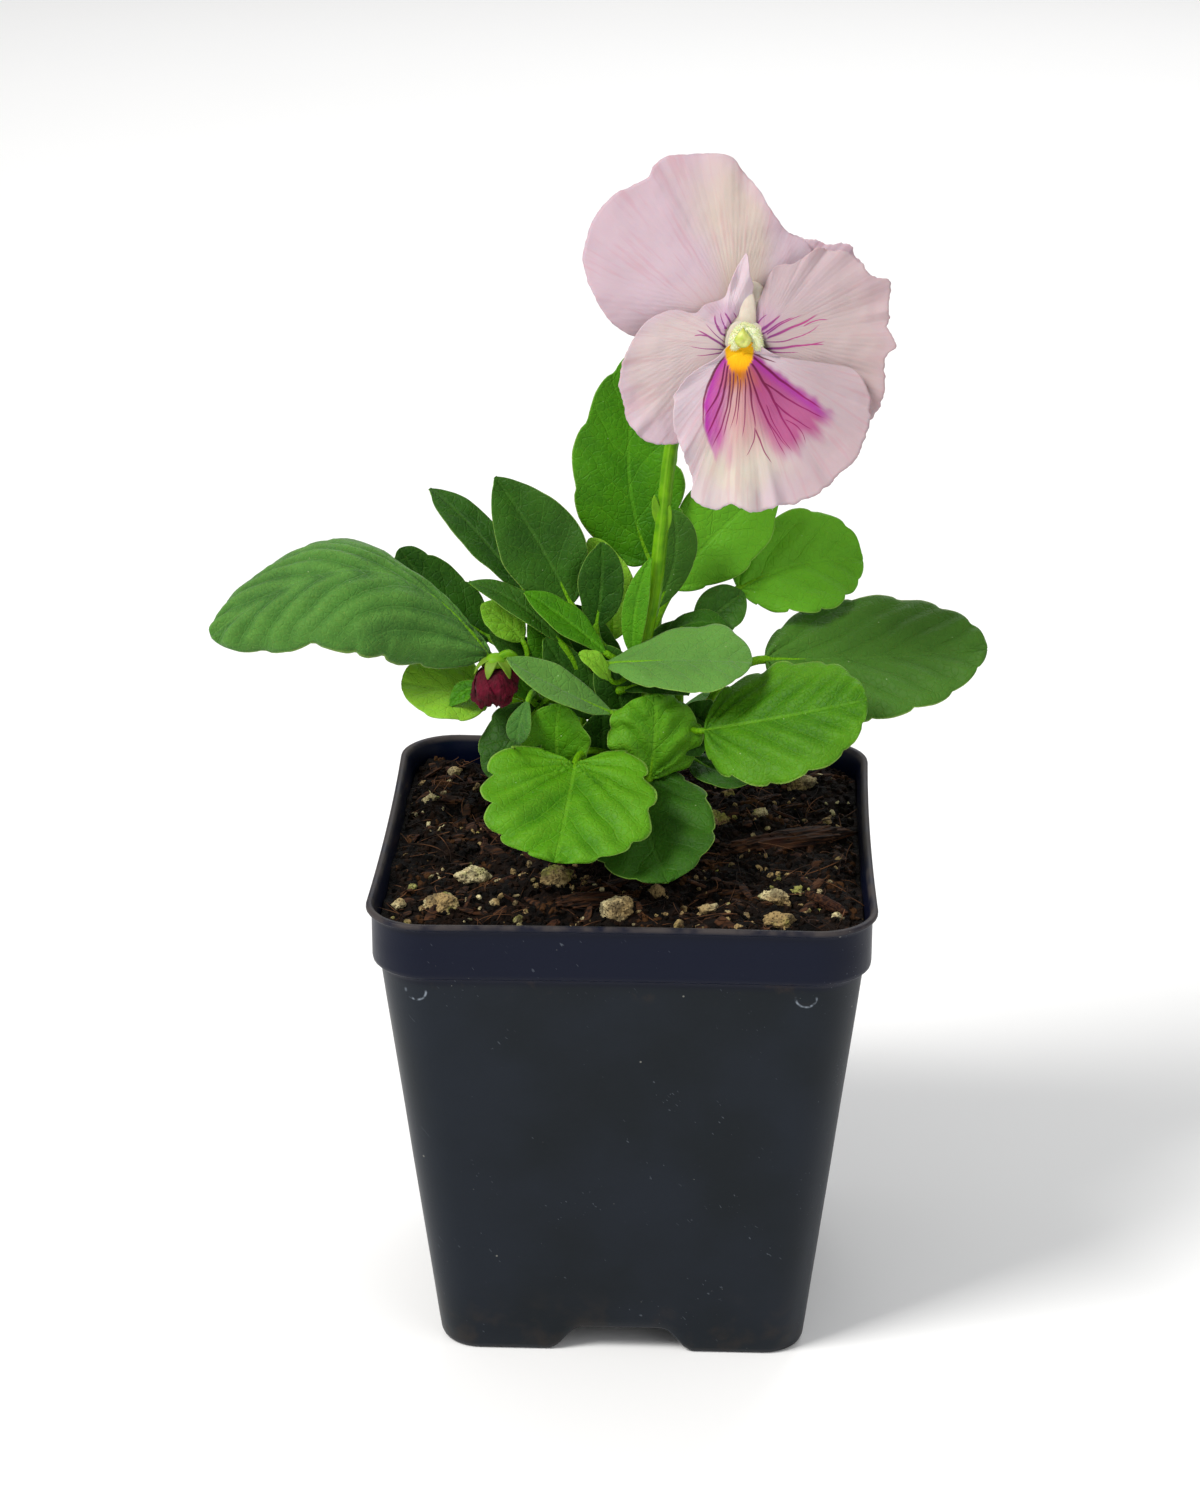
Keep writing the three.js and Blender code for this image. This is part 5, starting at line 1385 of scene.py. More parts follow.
THROAT = (19.8, -8, 183.2)
FLOWER_TURN = 2
FLOWER_TILT = 18
PETAL_RAYS = 300
PETAL_RINGS = 40
PETAL_THICKNESS = 0.28
SPUR = [(0, -3, -1.4), (0, -3.6, -3.4), (0, -4.4, -6.5), (0, -5.4, -9.5)]
PETALS = [
    # outline in the flower's own plane, x to the right and y up from the throat; layer is the depth
    # at claw and rim; folds are ridges: way in degrees from the claw, width in degrees, height
    {"name": "petal_upper_left", "slot": "petal_upper", "claw": (-1.4, 5.8), "layer": (-1.8, -4.5),
     "seat": (-0.9, 1.4, -7), "cup": 2.0, "ragged": 0.12, "ruffle": (1.0, 7),
     "folds": [(112, 15, -0.8), (130, 14, 0.6), (150, 16, -0.7), (88, 14, 0.6), (172, 14, 0.9),
               (196, 10, -1.0)],
     "outline": [(-4, 3.6), (-13, 1.6), (-18.8, 1.7), (-22.8, 4.2), (-25.8, 9), (-27.5, 14.4), (-27.1, 18),
                 (-25.4, 22.2), (-22.2, 25.8), (-19, 27.3), (-16.4, 28.7), (-15.3, 30.7), (-13.2, 32.3),
                 (-9.1, 32.7), (-4.4, 32.6), (-2, 32), (-0.2, 29.7), (2.6, 26.5), (5.6, 21.8), (8, 19.2),
                 (10.6, 17.9), (12, 15.4), (9, 10.5), (4, 6)]},
    {"name": "petal_upper_right", "slot": "petal_upper", "claw": (2.2, 4.6), "layer": (-3.1, -6),
     "seat": (1.1, 1.5, -7), "cup": 2.0, "ragged": 0.25, "ruffle": (0.8, 9),
     "folds": [(48, 10, 0.8), (62, 9, -0.7)],
     "outline": [(0.6, 5.8), (3, 14), (6, 19.5), (10.8, 18.4), (13.5, 18.1), (14.6, 17.4), (17.6, 17.5),
                 (19.4, 15.6), (21.2, 12), (21.5, 9), (17, 4.5), (9, 2.5), (2.6, 2.8)]},
    {"name": "petal_side_left", "slot": "petal_side", "claw": (-3.3, 2.6), "layer": (-0.5, -1.5),
     "seat": (-1.9, 0, -7.2), "cup": 1.6, "ragged": 0.2, "ruffle": (0.5, 11),
     "folds": [(128, 16, 1.4), (168, 14, -0.6), (196, 12, 0.7), (230, 14, -0.6), (74, 16, 2.6)],
     "outline": [(-2.3, 3.2), (0.9, 7.6), (1.6, 9.7), (0.9, 12), (0.3, 15.5), (-0.8, 14), (-2.5, 10.4),
                 (-3.3, 8.2), (-6.8, 6.8), (-8.2, 5.5), (-11.8, 6.0), (-15.9, 4.6), (-18.8, 1.3),
                 (-20.6, -2.6), (-21.3, -5.6), (-20.9, -8.9), (-19.8, -12.8), (-18, -15.5), (-14.4, -16.9),
                 (-8, -15), (-4, -7), (-3, 0.8)]},
    {"name": "petal_side_right", "slot": "petal_side", "claw": (3.3, 1.3), "layer": (-0.3, -1.8),
     "seat": (2, -0.2, -7.2), "cup": 1.8, "ragged": 0.3, "ruffle": (0.7, 12),
     "folds": [(20, 9, -0.5), (35, 10, 0.5), (52, 8, -0.2), (64, 10, 0.3), (0, 11, 0.5),
               (-25, 14, -0.6), (80, 12, -0.3)],
     "outline": [(1.8, 2.6), (2.1, 6), (3.6, 10.2), (5.4, 13.4), (7.6, 13.8), (9.8, 14.7), (11.6, 16.1),
                 (14, 16.4), (16.6, 16.1), (19.3, 14.8), (22.1, 11.7), (24.5, 11.2), (25.3, 9.5), (24.7, 6.3),
                 (24.8, 2.4), (25.8, -0.3), (24.5, -1.8), (24.4, -4.8), (23.8, -9.1), (21.7, -13.2),
                 (18, -15.5), (11, -11), (4.4, -2.6), (2.2, -0.3)]},
    {"name": "petal_lip", "slot": "petal_lip", "claw": (-0.5, -1.4), "layer": (0.7, 1.2),
     "seat": (0, -2, -6.8), "cup": 2.2, "ragged": 0.3, "ruffle": (1.0, 13),
     "folds": [(-118, 8, 0.4), (-104, 6, -0.6), (-90, 7, 0.7), (-72, 8, -0.6), (-54, 8, 0.7), (-28, 9, -0.5),
               (-135, 10, -0.2), (-10, 15, -1.7)],
     "outline": [(0.9, 0.5), (2.6, -0.2), (5.5, -1.8), (11, -3.0), (18.9, -4.2), (21.2, -7.8),
                 (21.7, -12.4), (21.2, -14.9), (19, -19), (17.9, -20.4), (16, -22.6), (12.1, -25.7),
                 (9.3, -26.9), (5.8, -27.5), (2.2, -28.4), (-0.6, -27.9), (-2.3, -27), (-4.5, -28.1),
                 (-5.9, -27.9), (-8.9, -25.7), (-8.6, -23.5), (-9.5, -20.8), (-10.3, -18.2),
                 (-11.2, -16.2), (-11.8, -14), (-12.1, -11.1), (-11.3, -7.5), (-8.6, -4.6),
                 (-4.6, -2.2), (-2.9, -0.4), (-1.4, 0.5)]},
]


def flower_matrix():
    turn = Matrix.Rotation(math.radians(FLOWER_TURN), 4, "Z")
    tilt = Matrix.Rotation(math.radians(90 - FLOWER_TILT), 4, "X")
    return Matrix.Translation(Vector(THROAT)) @ turn @ tilt


def in_plant(points):
    """Points of the flower's own frame, in the plant's."""
    matrix = np.array(flower_matrix())
    return np.asarray(points, float) @ matrix[:3, :3].T + matrix[:3, 3]


def add_flower(shell, shape, **layers):
    """Adds vertices and faces that are given in the flower's own frame."""
    vertices, faces = shape
    shell.add(in_plant(vertices), faces, **layers)


def egg(half, middle, detail=4):
    """A ball stretched to half sizes and moved to a middle."""
    points, faces = ball(detail)
    return points * np.array(half) + np.array(middle), faces


def turn_between(angle, middle):
    return (angle - middle + 180) % 360 - 180


def anticlockwise(outline):
    after = np.roll(outline, -1, axis=0)
    area = np.sum(outline[:, 0] * after[:, 1] - outline[:, 1] * after[:, 0])
    return outline[::-1] if area < 0 else outline


def petal_surface(petal, seed):
    """Middle surface of a petal on rays from its claw, and its layer for the pattern."""
    claw = np.array(petal["claw"])
    outline = anticlockwise(np.array(petal["outline"], float))
    rim = smooth_curve(outline, PETAL_RAYS + 1, closed=True)[:-1]
    along = np.linspace(0, 1, PETAL_RAYS, endpoint=False)
    out = unit(rim - claw)
    far = np.linalg.norm(rim - claw, axis=1)
    edge = smooth(4, 9, far)
    circle = np.stack([np.cos(2 * np.pi * along), np.sin(2 * np.pi * along)], axis=1)
    ragged = rough(circle * 9 + seed, 1.0, 3, seed) + 0.5 * rough(circle * 26, 1.0, 1, seed)
    rim = rim + out * (petal["ragged"] * ragged * edge)[:, None]
    share = np.linspace(0.03, 1, PETAL_RINGS)[:, None] ** 0.85
    flat = claw + (rim - claw)[None] * share[..., None]
    angle = np.degrees(np.arctan2(*(rim - claw)[:, ::-1].T))[None]
    low, high = petal["layer"]
    depth = blend(low, high, share) - petal["cup"] * share * (1 - share)
    for middle, width, height in petal["folds"]:
        depth = depth + height * np.exp(-((turn_between(angle, middle) / width) ** 2)) * share**1.6 * edge
    size, waves = petal["ruffle"]
    phase = 2 * np.pi * waves * along + 2.5 * rough(circle * 2 + seed, 1.0, 2, seed + 3)
    uneven = 0.6 + 0.5 * noise(circle * 3 + seed, seed)
    depth = depth + size * share**5 * np.sin(phase)[None] * edge * uneven
    depth = depth + 0.02 * np.sin(angle * 1.9 + 3 * share) * smooth(0.1, 0.5, share) * edge
    depth = depth + 0.3 * rough(np.dstack([flat, depth * 0]), 6.0, 3, seed) * smooth(0.15, 0.6, share)
    surface = np.dstack([flat, depth])
    layer = np.dstack([flat, np.broadcast_to(share, depth.shape)])
    return surface, layer


def petal_shell(petal, seed):
    """The petal with the neck that joins it to the calyx, and the spur behind the lip."""
    surface, layer = petal_surface(petal, seed)
    radial = np.gradient(surface, axis=0)
    round_way = np.roll(surface, -1, axis=1) - np.roll(surface, 1, axis=1)
    body = PETAL_THICKNESS / 2 * (1 - 0.5 * np.linspace(0, 1, PETAL_RINGS) ** 4)[:, None, None]
    offset = unit(np.cross(radial, round_way)) * body
    pole, lift = surface[0].mean(0), np.array((0, 0, PETAL_THICKNESS / 2))
    sides = [np.vstack([(surface + offset * side).reshape(-1, 3), pole + lift * side]) for side in (1, -1)]
    flat = np.vstack([layer.reshape(-1, 3), (*petal["claw"], 0)])
    shell = Shell()
    add_flower(shell, (np.vstack(sides), disc_faces(PETAL_RINGS, PETAL_RAYS)),
               petal=np.vstack([flat, flat]), skin=np.repeat([1.0, -1.0], len(flat)))
    neck = smooth_curve([(*petal["claw"], petal["layer"][0] - 0.95), petal["seat"]], 10)
    add_flower(shell, rounded_tube(neck, np.linspace(0.65, 0.8, 10), 12), petal=(0, 0.5, 0), skin=0.0)
    if petal["slot"] == "petal_lip":
        radii = 1.3 - 0.35 * np.linspace(0, 1, 24) ** 2
        add_flower(shell, rounded_tube(smooth_curve(SPUR, 24), radii, 16), petal=(0, 24, 1), skin=0.0)
    return shell


VEIN_ROWS = {
    # start, middle and end in the flower's own plane, and width
    "petal_side": [
        ((2.4, 2.3), (4.2, 3.4), (6.3, 5), 0.32), ((3.2, 1.1), (7.1, 2.5), (12.7, 5.3), 0.33),
        ((3.4, 0.6), (8.4, 1), (13.1, 3.9), 0.15), ((2.8, -0.6), (8.4, -0.3), (14, 0.9), 0.29),
        ((2.9, -0.9), (5.8, -1.2), (9.5, -1.3), 0.15), ((1.9, 3.1), (2.9, 4.2), (4, 5.2), 0.18),
        ((1.5, 3.5), (1.9, 4.4), (2.3, 5.2), 0.15), ((3.5, 1.8), (7.1, 3.9), (10, 5.3), 0.17),
        ((2.9, 1.8), (5.8, 3.5), (8.4, 4.8), 0.19), ((10, 3.2), (11.6, 4), (14.5, 4.4), 0.13),
        ((9.7, -0.1), (11.6, 0.2), (13.8, 0.3), 0.16), ((-3.1, -0.5), (-5.3, 1.1), (-8, 2.6), 0.29),
        ((-2.6, 1.2), (-4.4, 3.1), (-5, 5.2), 0.3), ((-1.8, 2.4), (-2.5, 4), (-3.2, 5.6), 0.24),
        ((-1, 3.4), (-1.4, 4.5), (-1.9, 5.5), 0.18), ((-3.2, -1.1), (-4.8, -1.4), (-8.4, -1.9), 0.13),
        ((-3.2, -0.8), (-6.1, -0.6), (-9.4, -0.3), 0.13), ((-6.1, 1.5), (-7.4, 1.7), (-8.5, 1.5), 0.17),
        ((-2.3, 1.9), (-3.6, 3.9), (-4, 5.5), 0.15), ((-3.1, 0.3), (-5.2, 2.3), (-6.5, 3.7), 0.13),
    ],
    "petal_lip": [
        ((-3.3, -1.7), (-6.2, -7.1), (-6.8, -14.5), 0.3), ((-3.2, -2.7), (-4.4, -8.1), (-6.9, -12.6), 0.24),
        ((-2.7, -2.9), (-3.6, -8.4), (-6.5, -15.8), 0.25), ((-2.4, -4.2), (-2.9, -10), (-5.5, -17.7), 0.22),
        ((-1.8, -4.2), (-2.3, -9.4), (-3.7, -15.8), 0.19), ((-1.3, -4.8), (-1.3, -9.4), (-2.5, -14.5), 0.15),
        ((-0.7, -5.5), (-0.9, -9.4), (-1.4, -14), 0.15), ((0.1, -5.2), (0.2, -10), (-0.3, -15.8), 0.16),
        ((0.4, -3.9), (1.5, -10.6), (1.9, -14.5), 0.24), ((1.9, -14.2), (2.9, -16.8), (4.9, -20), 0.17),
        ((1.8, -13.9), (1.5, -16.8), (0.3, -19), 0.13), ((0.8, -3.5), (2.6, -9.7), (7.7, -17.7), 0.22),
        ((1, -2.6), (5, -9.4), (9.7, -18.1), 0.31), ((1.3, -1.8), (7.1, -6.5), (13.7, -11), 0.31),
        ((2.9, -6.1), (7.1, -8.9), (14, -12.6), 0.22), ((5, -9.5), (8.4, -12.3), (11.8, -14.5), 0.21),
        ((1.3, -1.3), (3.5, -2.3), (5.6, -3), 0.2), ((1.9, -8.1), (3.9, -12.6), (7.1, -19), 0.16),
        ((3.7, -10), (5.3, -13.5), (8.4, -18.4), 0.13), ((7.1, -12.6), (8.7, -13.5), (10.5, -16.8), 0.14),
    ],
}
PETAL_CREAM = {
    # way and half angle of the creamy part in degrees, its strength, how much lighter the petal is
    "petal_upper": (91, 34, 0.72, 0.0), "petal_side": (-8, 70, 0.4, 0.02), "petal_lip": (-94, 40, 1.0, 0.1),
}
# Lines that bound the lip's magenta wings, and the point below the throat that its marks spread from.
LEFT_WING_EDGE = ((-3.3, -1.7), (-6.2, -7.1), (-6.4, -15.5))
RIGHT_WING_EDGE = ((1.3, -1.6), (7.1, -6.2), (14, -11.4))
RIGHT_WING_FOOT = ((0.3, -3.5), (1.9, -9.7), (6.5, -18))
FAN = (-0.85, -0.65)


def bowed(graph, place, start, middle, end):
    """How far along a bowed line a place is, as a share, and how far aside, to its left."""
    start, middle, end = (np.array(point, float) for point in (start, middle, end))
    span = end - start
    length = np.hypot(*span)
    way = span / length
    left = np.array((-way[1], way[0]))
    at = (middle - start) @ way / length
    bow = (middle - start) @ left / (at * (1 - at))
    share = graph.dot(place, way / length) - float(start @ way / length)
    aside = graph.dot(place, left) - float(start @ left) - share * (1 - share) * float(bow)
    return share, aside


def drawn_veins(graph, place, rows):
    """Mask of thin lines that taper to their ends."""
    veins = 0
    for start, middle, end, width in rows:
        share, aside = bowed(graph, place, start, middle, end)
        taper = (1.15 - share * 0.75).math("MAXIMUM", 0.3) * (0.5 + share.step(-0.1, 0.35) * 0.5)
        taper = taper * (width * 1.15)
        line = 1 - (aside.math("ABSOLUTE") / taper).step(0.3, 1.1)
        line = line * share.step(-0.02, 0.06) * (1 - share.step(0.86, 1.02))
        veins = line.math("MAXIMUM", veins)
    return veins


def petal_base(graph, x, y, share, settings, slot):
    """Pale petal, creamier along one way from the throat and pinker to the rim; on the lip, painted shade
    darkens the right part.
    """
    cream_way, cream_width, cream_share, lighter = PETAL_CREAM[slot]
    angle = y.math("ARCTAN2", x)
    reach = (x * x + y * y).math("SQRT")
    soft = graph.noise(graph.vector(x, y), 8, 3)
    outward = y.math("ARCTAN2", x.math("ABSOLUTE")) if slot == "petal_side" else angle
    cream = outward.near(math.radians(cream_way), math.radians(cream_width))
    cream = cream * (1 - share.step(0.65, 1.05) * 0.7)
    cream = (cream + (soft - 0.5) * 0.8).step(0.1, 0.8) * cream_share
    colour = graph.coats(settings.rim[:], (cream, settings.cream[:]), (lighter, (1.0, 1.0, 1.0)))
    if slot == "petal_lip":
        # Painted shade: the lip darkens towards its right, away from the light.
        colour = graph.mix(x.step(1, 13) * 0.6, colour, tint(160, 138, 140))
    streaks = graph.noise(graph.vector(angle * 26, reach * 0.07), 1.0, 3)
    colour = graph.mix(streaks.step(0.52, 0.66) * 0.22 * reach.step(2, 9), colour, settings.streak[:])
    return colour, angle, reach, streaks, soft


def lip_pattern(graph, colour, x, y, face, veins):
    """Magenta wings, the cream middle and the yellow shield of the lip."""
    place = graph.vector(x, y)
    below = ((x - FAN[0]) ** 2 + (y - FAN[1]) ** 2).math("SQRT")
    way = (y - FAN[1]).math("ARCTAN2", x - FAN[0])
    fringe = graph.noise(graph.vector(way * 11, below * 0.08), 1.0, 2) - 0.5
    torn = graph.noise(place, 3.2, 1) - 0.5
    _, aside = bowed(graph, place, *LEFT_WING_EDGE)
    left = (aside + torn * 1.2).step(-0.25, 0.45) * (1 - aside.step(1.8, 5.2))
    left = left * (1 - (below + fringe * 5).step(14, 21))
    rim_left = (1 - aside.step(0.2, 1.6)) * left
    _, above = bowed(graph, place, *RIGHT_WING_EDGE)
    _, inner = bowed(graph, place, *RIGHT_WING_FOOT)
    right = (1 - (above + torn * 2.6).step(-0.3, 1.1)) * inner.step(-2.6, 1.4)
    right = right * (1 - (below + fringe * 6).step(17, 21.5))
    rim_right = (1 - (above * -1).step(0.3, 2.2)) * right
    wash = (1 - (below + fringe * 5).step(11, 21)) * way.near(-1.45, 0.95) * 0.7
    down = (y - FAN[1]) * -1
    half = 2.5 - down * 0.1 - down * down * 0.055 + fringe * 2.2 * down.step(0.5, 3)
    gold = 1 - ((x - FAN[0]).math("ABSOLUTE") - half).step(-0.2, 0.3)
    gold = gold * (1 - down.step(3.2, 4.6))
    ember = (1 - (below + fringe * 5).step(4.8, 8.4)) * way.near(-1.6, 0.85) * (1 - veins)
    return graph.coats(
        colour,
        (wash * face, tint(178, 108, 122)),
        (left * face * 0.9, tint(172, 64, 146)),
        (rim_left * face * 0.75, tint(160, 36, 150)),
        (right * face * 0.92, graph.mix(below.step(4, 14), tint(146, 44, 104), tint(158, 72, 120))),
        (rim_right * face * 0.7, tint(146, 34, 142)),
        (veins * face * 0.9, graph.mix(below.step(5, 15), tint(88, 8, 46), tint(128, 16, 84))),
        (ember * face, tint(172, 100, 0)),
        (gold * face * (1 - veins * below.step(3, 4) * 0.8),
         graph.mix(below.step(1.8, 5), tint(238, 178, 8), tint(212, 122, 6))))


def side_pattern(graph, colour, x, y, face, veins, angle, reach):
    """Veins, a magenta haze and a pale middle on the side petals; painted shade darkens the right one and a
    painted highlight lightens the left one's raised flap.
    """
    right = x.step(0, 3)
    flap = y.step(6, 8) * x.step(-5, -3) * (1 - right)
    aside = (angle - 1.5).math("ABSOLUTE")
    sector = (1 - aside.step(0.9, 1.3)) * (1 - aside.near(0, 0.5))
    return graph.coats(
        colour,
        # Painted shade: the whole right petal is darkened, away from the light.
        (right * 0.55, tint(170, 150, 150)),
        # Painted highlight: the raised flap of the left petal is lightened where it catches the light.
        (flap * 0.6, tint(208, 190, 198)),
        ((1 - reach.step(3, 9.5)) * sector * face * 0.48, tint(168, 100, 160)),
        (veins * face * 0.9, graph.mix(reach.step(3, 11), tint(108, 12, 108), tint(166, 44, 120))),
        ((1 - reach.step(2.2, 3.6)) * 0.8, tint(198, 200, 158)))


def petal_material(slot, settings):
    graph = material_graph(slot.replace("_", " "))
    x, y, share = graph.levels("petal")
    place = graph.vector(x, y)
    face = graph.level("skin").step(-0.2, 0.2)
    colour, angle, reach, streaks, soft = petal_base(graph, x, y, share, settings, slot)
    if slot == "petal_upper":
        # Painted shade: the upper petals are darker and browner near the throat, where the petals in front
        # shade them.
        colour = graph.mix((1 - reach.step(4, 17)) * 0.6, colour, tint(160, 138, 120))
    else:
        bend = graph.node("ShaderNodeTexNoise", {"Vector": place, "Scale": 1 / 5, "Detail": 1.0})
        bend = graph.stretch(graph.centred(bend), (0.8, 0.8, 0))
        veins = drawn_veins(graph, graph.vector_math("ADD", place, bend)[0], VEIN_ROWS[slot])
    if slot == "petal_side":
        colour = side_pattern(graph, colour, x, y, face, veins, angle, reach)
    if slot == "petal_lip":
        colour = lip_pattern(graph, colour, x, y, face, veins)
    colour = graph.mix((1 - face) * 0.4, colour, tint(190, 170, 180))
    relief = streaks * 0.5 + soft * 2.5 + graph.noise(place, 0.5, 2) * 0.15
    return graph.surface(
        colour, 0.65, relief, 0.16, sheen_weight=0.1, sheen_roughness=0.4,
        subsurface_weight=0.15, subsurface_scale=0.8 * MM, specular_ior_level=0.2)


class FlowerSettings(bpy.types.PropertyGroup):
    rim: colour_setting("Petal Rim", "Colour of the petals towards their rims", tint(184, 163, 173))
    cream: colour_setting("Petal Cream", "Colour of the pale middle of the petals", tint(188, 176, 160))
    streak: colour_setting("Petal Streak", "Colour of the faint veins in the petals", tint(182, 124, 134))


class PANSY_OT_petals(bpy.types.Operator):
    """Make the five ruffled petals with their patterns"""

    bl_idname = "pansy.petals"
    bl_label = "Petals"

    def execute(self, context):
        settings = context.scene.pansy_flower
        finish = {}
        for seed, petal in enumerate(PETALS):
            slot = petal["slot"]
            if slot not in finish:
                finish[slot] = petal_material(slot, settings)
            piece = petal_shell(petal, 51 + seed).object(petal["name"] + "_blade", finish[slot])
            settle(piece, slot, petal["name"])
        return {"FINISHED"}


def plain_material(name, first, second, size, roughness, depth=0.08):
    """Two close colours in soft patches, with a fine grain."""
    graph = material_graph(name)
    place = graph.place()
    patches = graph.noise(place, size, 3)
    grain = graph.noise(place, size / 5, 2)
    colour = graph.mix(patches.step(0.32, 0.68), tint(*first), tint(*second))
    return graph.surface(colour, roughness + grain * 0.1, grain + patches, depth,
                         subsurface_weight=0.2, subsurface_scale=0.6 * MM)


STYLE = [(0.3, 0.6, -6.2), (0.1, 1.2, -2), (-0.1, 1.0, 1.2)]
STIGMA = ((1.5, 1.75, 1.2), (-0.25, 1.15, 2.1))  # half sizes and middle
STIGMA_HOLLOW = (0.1, -0.6, 0.8)
# Half sizes and middles of the soft lumps that close the throat between the petals' claws.
THROAT_LUMPS = [
    ((3.7, 3.0, 0.7), (0.15, 1.3, -1.2)), ((1.5, 5.6, 0.6), (0.6, 4.6, -1.3)),
    ((3.0, 5.0, 0.6), (1.5, 6.0, -2.7)), ((2.6, 3.4, 0.5), (-0.6, 4.2, -1.75)),
]
PAD_POINTS = 20


def stigma():
    """The pistil's hollow club, narrower towards its top."""
    points, faces = ball(4)
    half, middle = STIGMA
    hollow = np.exp(-((points - np.array(STIGMA_HOLLOW)) ** 2).sum(1) / 0.12)
    club = points * (1 - 0.3 * hollow)[:, None] * np.array(half)
    club[:, 0] *= 1 - 0.8 * np.clip(points[:, 1] + 0.1, 0, 1)
    return club + np.array(middle), faces


def beard_pad(side):
    path = smooth_curve([
        (0.1, 3.0, -0.2), (side * 1.1 + 0.15, 2.2, 0.3), (side * 1.7 + 0.2, 1.1, 0.6),
        (side * 2.0 + 0.3, -0.1, 0.6)], PAD_POINTS)
    wide = np.interp(np.linspace(0, 1, PAD_POINTS), (0, 0.5, 1), (0.75, 1.02 + 0.15 * side, 0.9))
    return rounded_tube(path, wide, 16)


class PANSY_OT_throat(bpy.types.Operator):
    """Make the pistil and the beard of pale hairs round the throat"""

    bl_idname = "pansy.throat"
    bl_label = "Throat"

    def execute(self, context):
        green = plain_material("pistil", (162, 178, 40), (208, 212, 120), 1.6, 0.4)
        shell = Shell()
        add_flower(shell, rounded_tube(smooth_curve(STYLE, 24), np.linspace(0.6, 0.85, 24), 14))
        add_flower(shell, stigma())
        settle(shell.object("pistil_club", green), "pistil", "pistil")
        hairs = plain_material("beard", (216, 220, 160), (234, 234, 204), 0.8, 0.6, 0.02)
        tissue = plain_material("throat", (196, 182, 166), (206, 194, 178), 2.4, 0.6)
        shell = Shell()
        for half, middle in THROAT_LUMPS:
            add_flower(shell, egg(half, middle))
        settle(shell.object("throat_tissue", tissue), "petal_side")
        pads = Shell()
        for side in (-1, 1):
            add_flower(pads, beard_pad(side))
        settle(pads.object("beard_pads", hairs), "petal_side")
        tree = scatter_tree("Beard", hair_sources, hairs)
        beard = scattered("beard_hairs", pads, tree, density=2.2e7, seed=5, tilt=0.45, sink=0.0,
                          smallest=in_metres((0.5, 0.5, 0.12)), largest=in_metres((0.7, 0.7, 0.36)))
        settle(beard, "petal_side")
        return {"FINISHED"}


SEPAL_TURNS = (90, 162, 18, 234, 306)
SEPAL_LENGTH = 9
SEPAL_EAR = 0.35  # share of its length that a sepal reaches back past the receptacle
RECEPTACLE = (0, -0.5, -8.5)
STALK_ROWS = 90
BRACTS = [(0.33, (0.8, -0.5, 0.6)), (0.35, (-0.7, -0.5, 0.7))]  # place along the stalk, way out
STALK_HOOK = [(-3, 3.6, -15.5), (-0.4, 3.4, -14.2), (0, 1.2, -11.6)]
STALK_PATH = [
    (2.8, 0.4, 123.5), (3, 0, 127), (4.4, 0, 134), (5.8, 0, 147.5), (7.5, 0.5, 163), (11, 4, 177),
]


def strap_shell(path, widths, face, thickness, fold=0.15):
    """Narrow pointed blade along a path: vertices and faces of a closed sheet."""
    _, side, normal = blade_ways(path, face)
    u = np.linspace(-1, 1, 9)
    half = widths[:, None]
    lift = fold * half * np.abs(u)
    grid = path[:, None] + side[:, None] * (half * u)[..., None] + normal[:, None] * lift[..., None]
    body = thickness / 2 * (1 - 0.5 * u**2)[None, :, None] * normal[:, None]
    return sheet_sides(grid, body), sheet_faces(len(path), len(u))


def curled_strap(controls, rows, wide, foot, blunt, face, thickness):
    """A strap along a Bezier curve; foot is the share of a full outline that its base leaves out."""
    widths = wide * np.sin(np.pi * np.linspace(foot, 1, rows)) ** blunt + 0.08
    return strap_shell(bezier(controls, np.linspace(0, 1, rows)), widths, face, thickness)


def sepal(turn):
    """One sepal of the flower, with a short ear behind the receptacle."""
    angle = math.radians(turn)
    way = np.array((math.cos(angle), math.sin(angle), 0))
    share = np.linspace(-SEPAL_EAR, 1, 26)
    curve = np.array(RECEPTACLE) + way * (share * SEPAL_LENGTH)[:, None]
    curve[:, 2] -= 0.6 * share + 4.8 * np.clip(-share, 0, 1)
    wave = np.sin(np.pi * ((share + SEPAL_EAR) / (1 + SEPAL_EAR)) ** 0.7)
    return strap_shell(curve, 2.0 * np.clip(wave, 0, 1) ** 0.8 + 0.1, (0, 0, 1), 0.5, 0.12)


class PANSY_OT_calyx(bpy.types.Operator):
    """Make the flower's stalk with its small bracts, and the calyx behind the petals"""

    bl_idname = "pansy.calyx"
    bl_label = "Stalk and Calyx"

    def execute(self, context):
        settings = context.scene.pansy_plant
        green = stem_material(settings, "stalk green")
        shell = Shell()
        path = smooth_curve(np.vstack([STALK_PATH, in_plant(STALK_HOOK)]), STALK_ROWS)
        add_stalk(shell, path, np.linspace(1.3, 1.1, STALK_ROWS), 20, ribbed(4, 0.08))
        for at, way in BRACTS:
            start, way = path[int(at * (STALK_ROWS - 1))], np.array(way)
            controls = [start, start + way * 1.6 + (0, 0, 2), start + way * 1.9 + (0, 0, 5)]
            shell.add(*curled_strap(controls, 12, 0.75, 0.12, 0.7, (0, -1, 0.2), 0.25), stalk=(0, 0, 0))
        settle(shell.object("flower_stalk_rod", green), "stem_green", "flower_stalk")

        shell = Shell()
        points, faces = ball(4)
        ribs = 1 + 0.06 * np.cos(5 * np.arctan2(points[:, 1], points[:, 0]))
        cup = points * np.array((2.5, 2.5, 2.6)) * ribs[:, None]
        add_flower(shell, (cup + np.array(RECEPTACLE), faces), stalk=(0, 0, 0))
        for turn in SEPAL_TURNS:
            add_flower(shell, sepal(turn), stalk=(0, 0, 0))
        settle(shell.object("calyx_sepals", green), "stem_green", "flower_calyx")
        return {"FINISHED"}


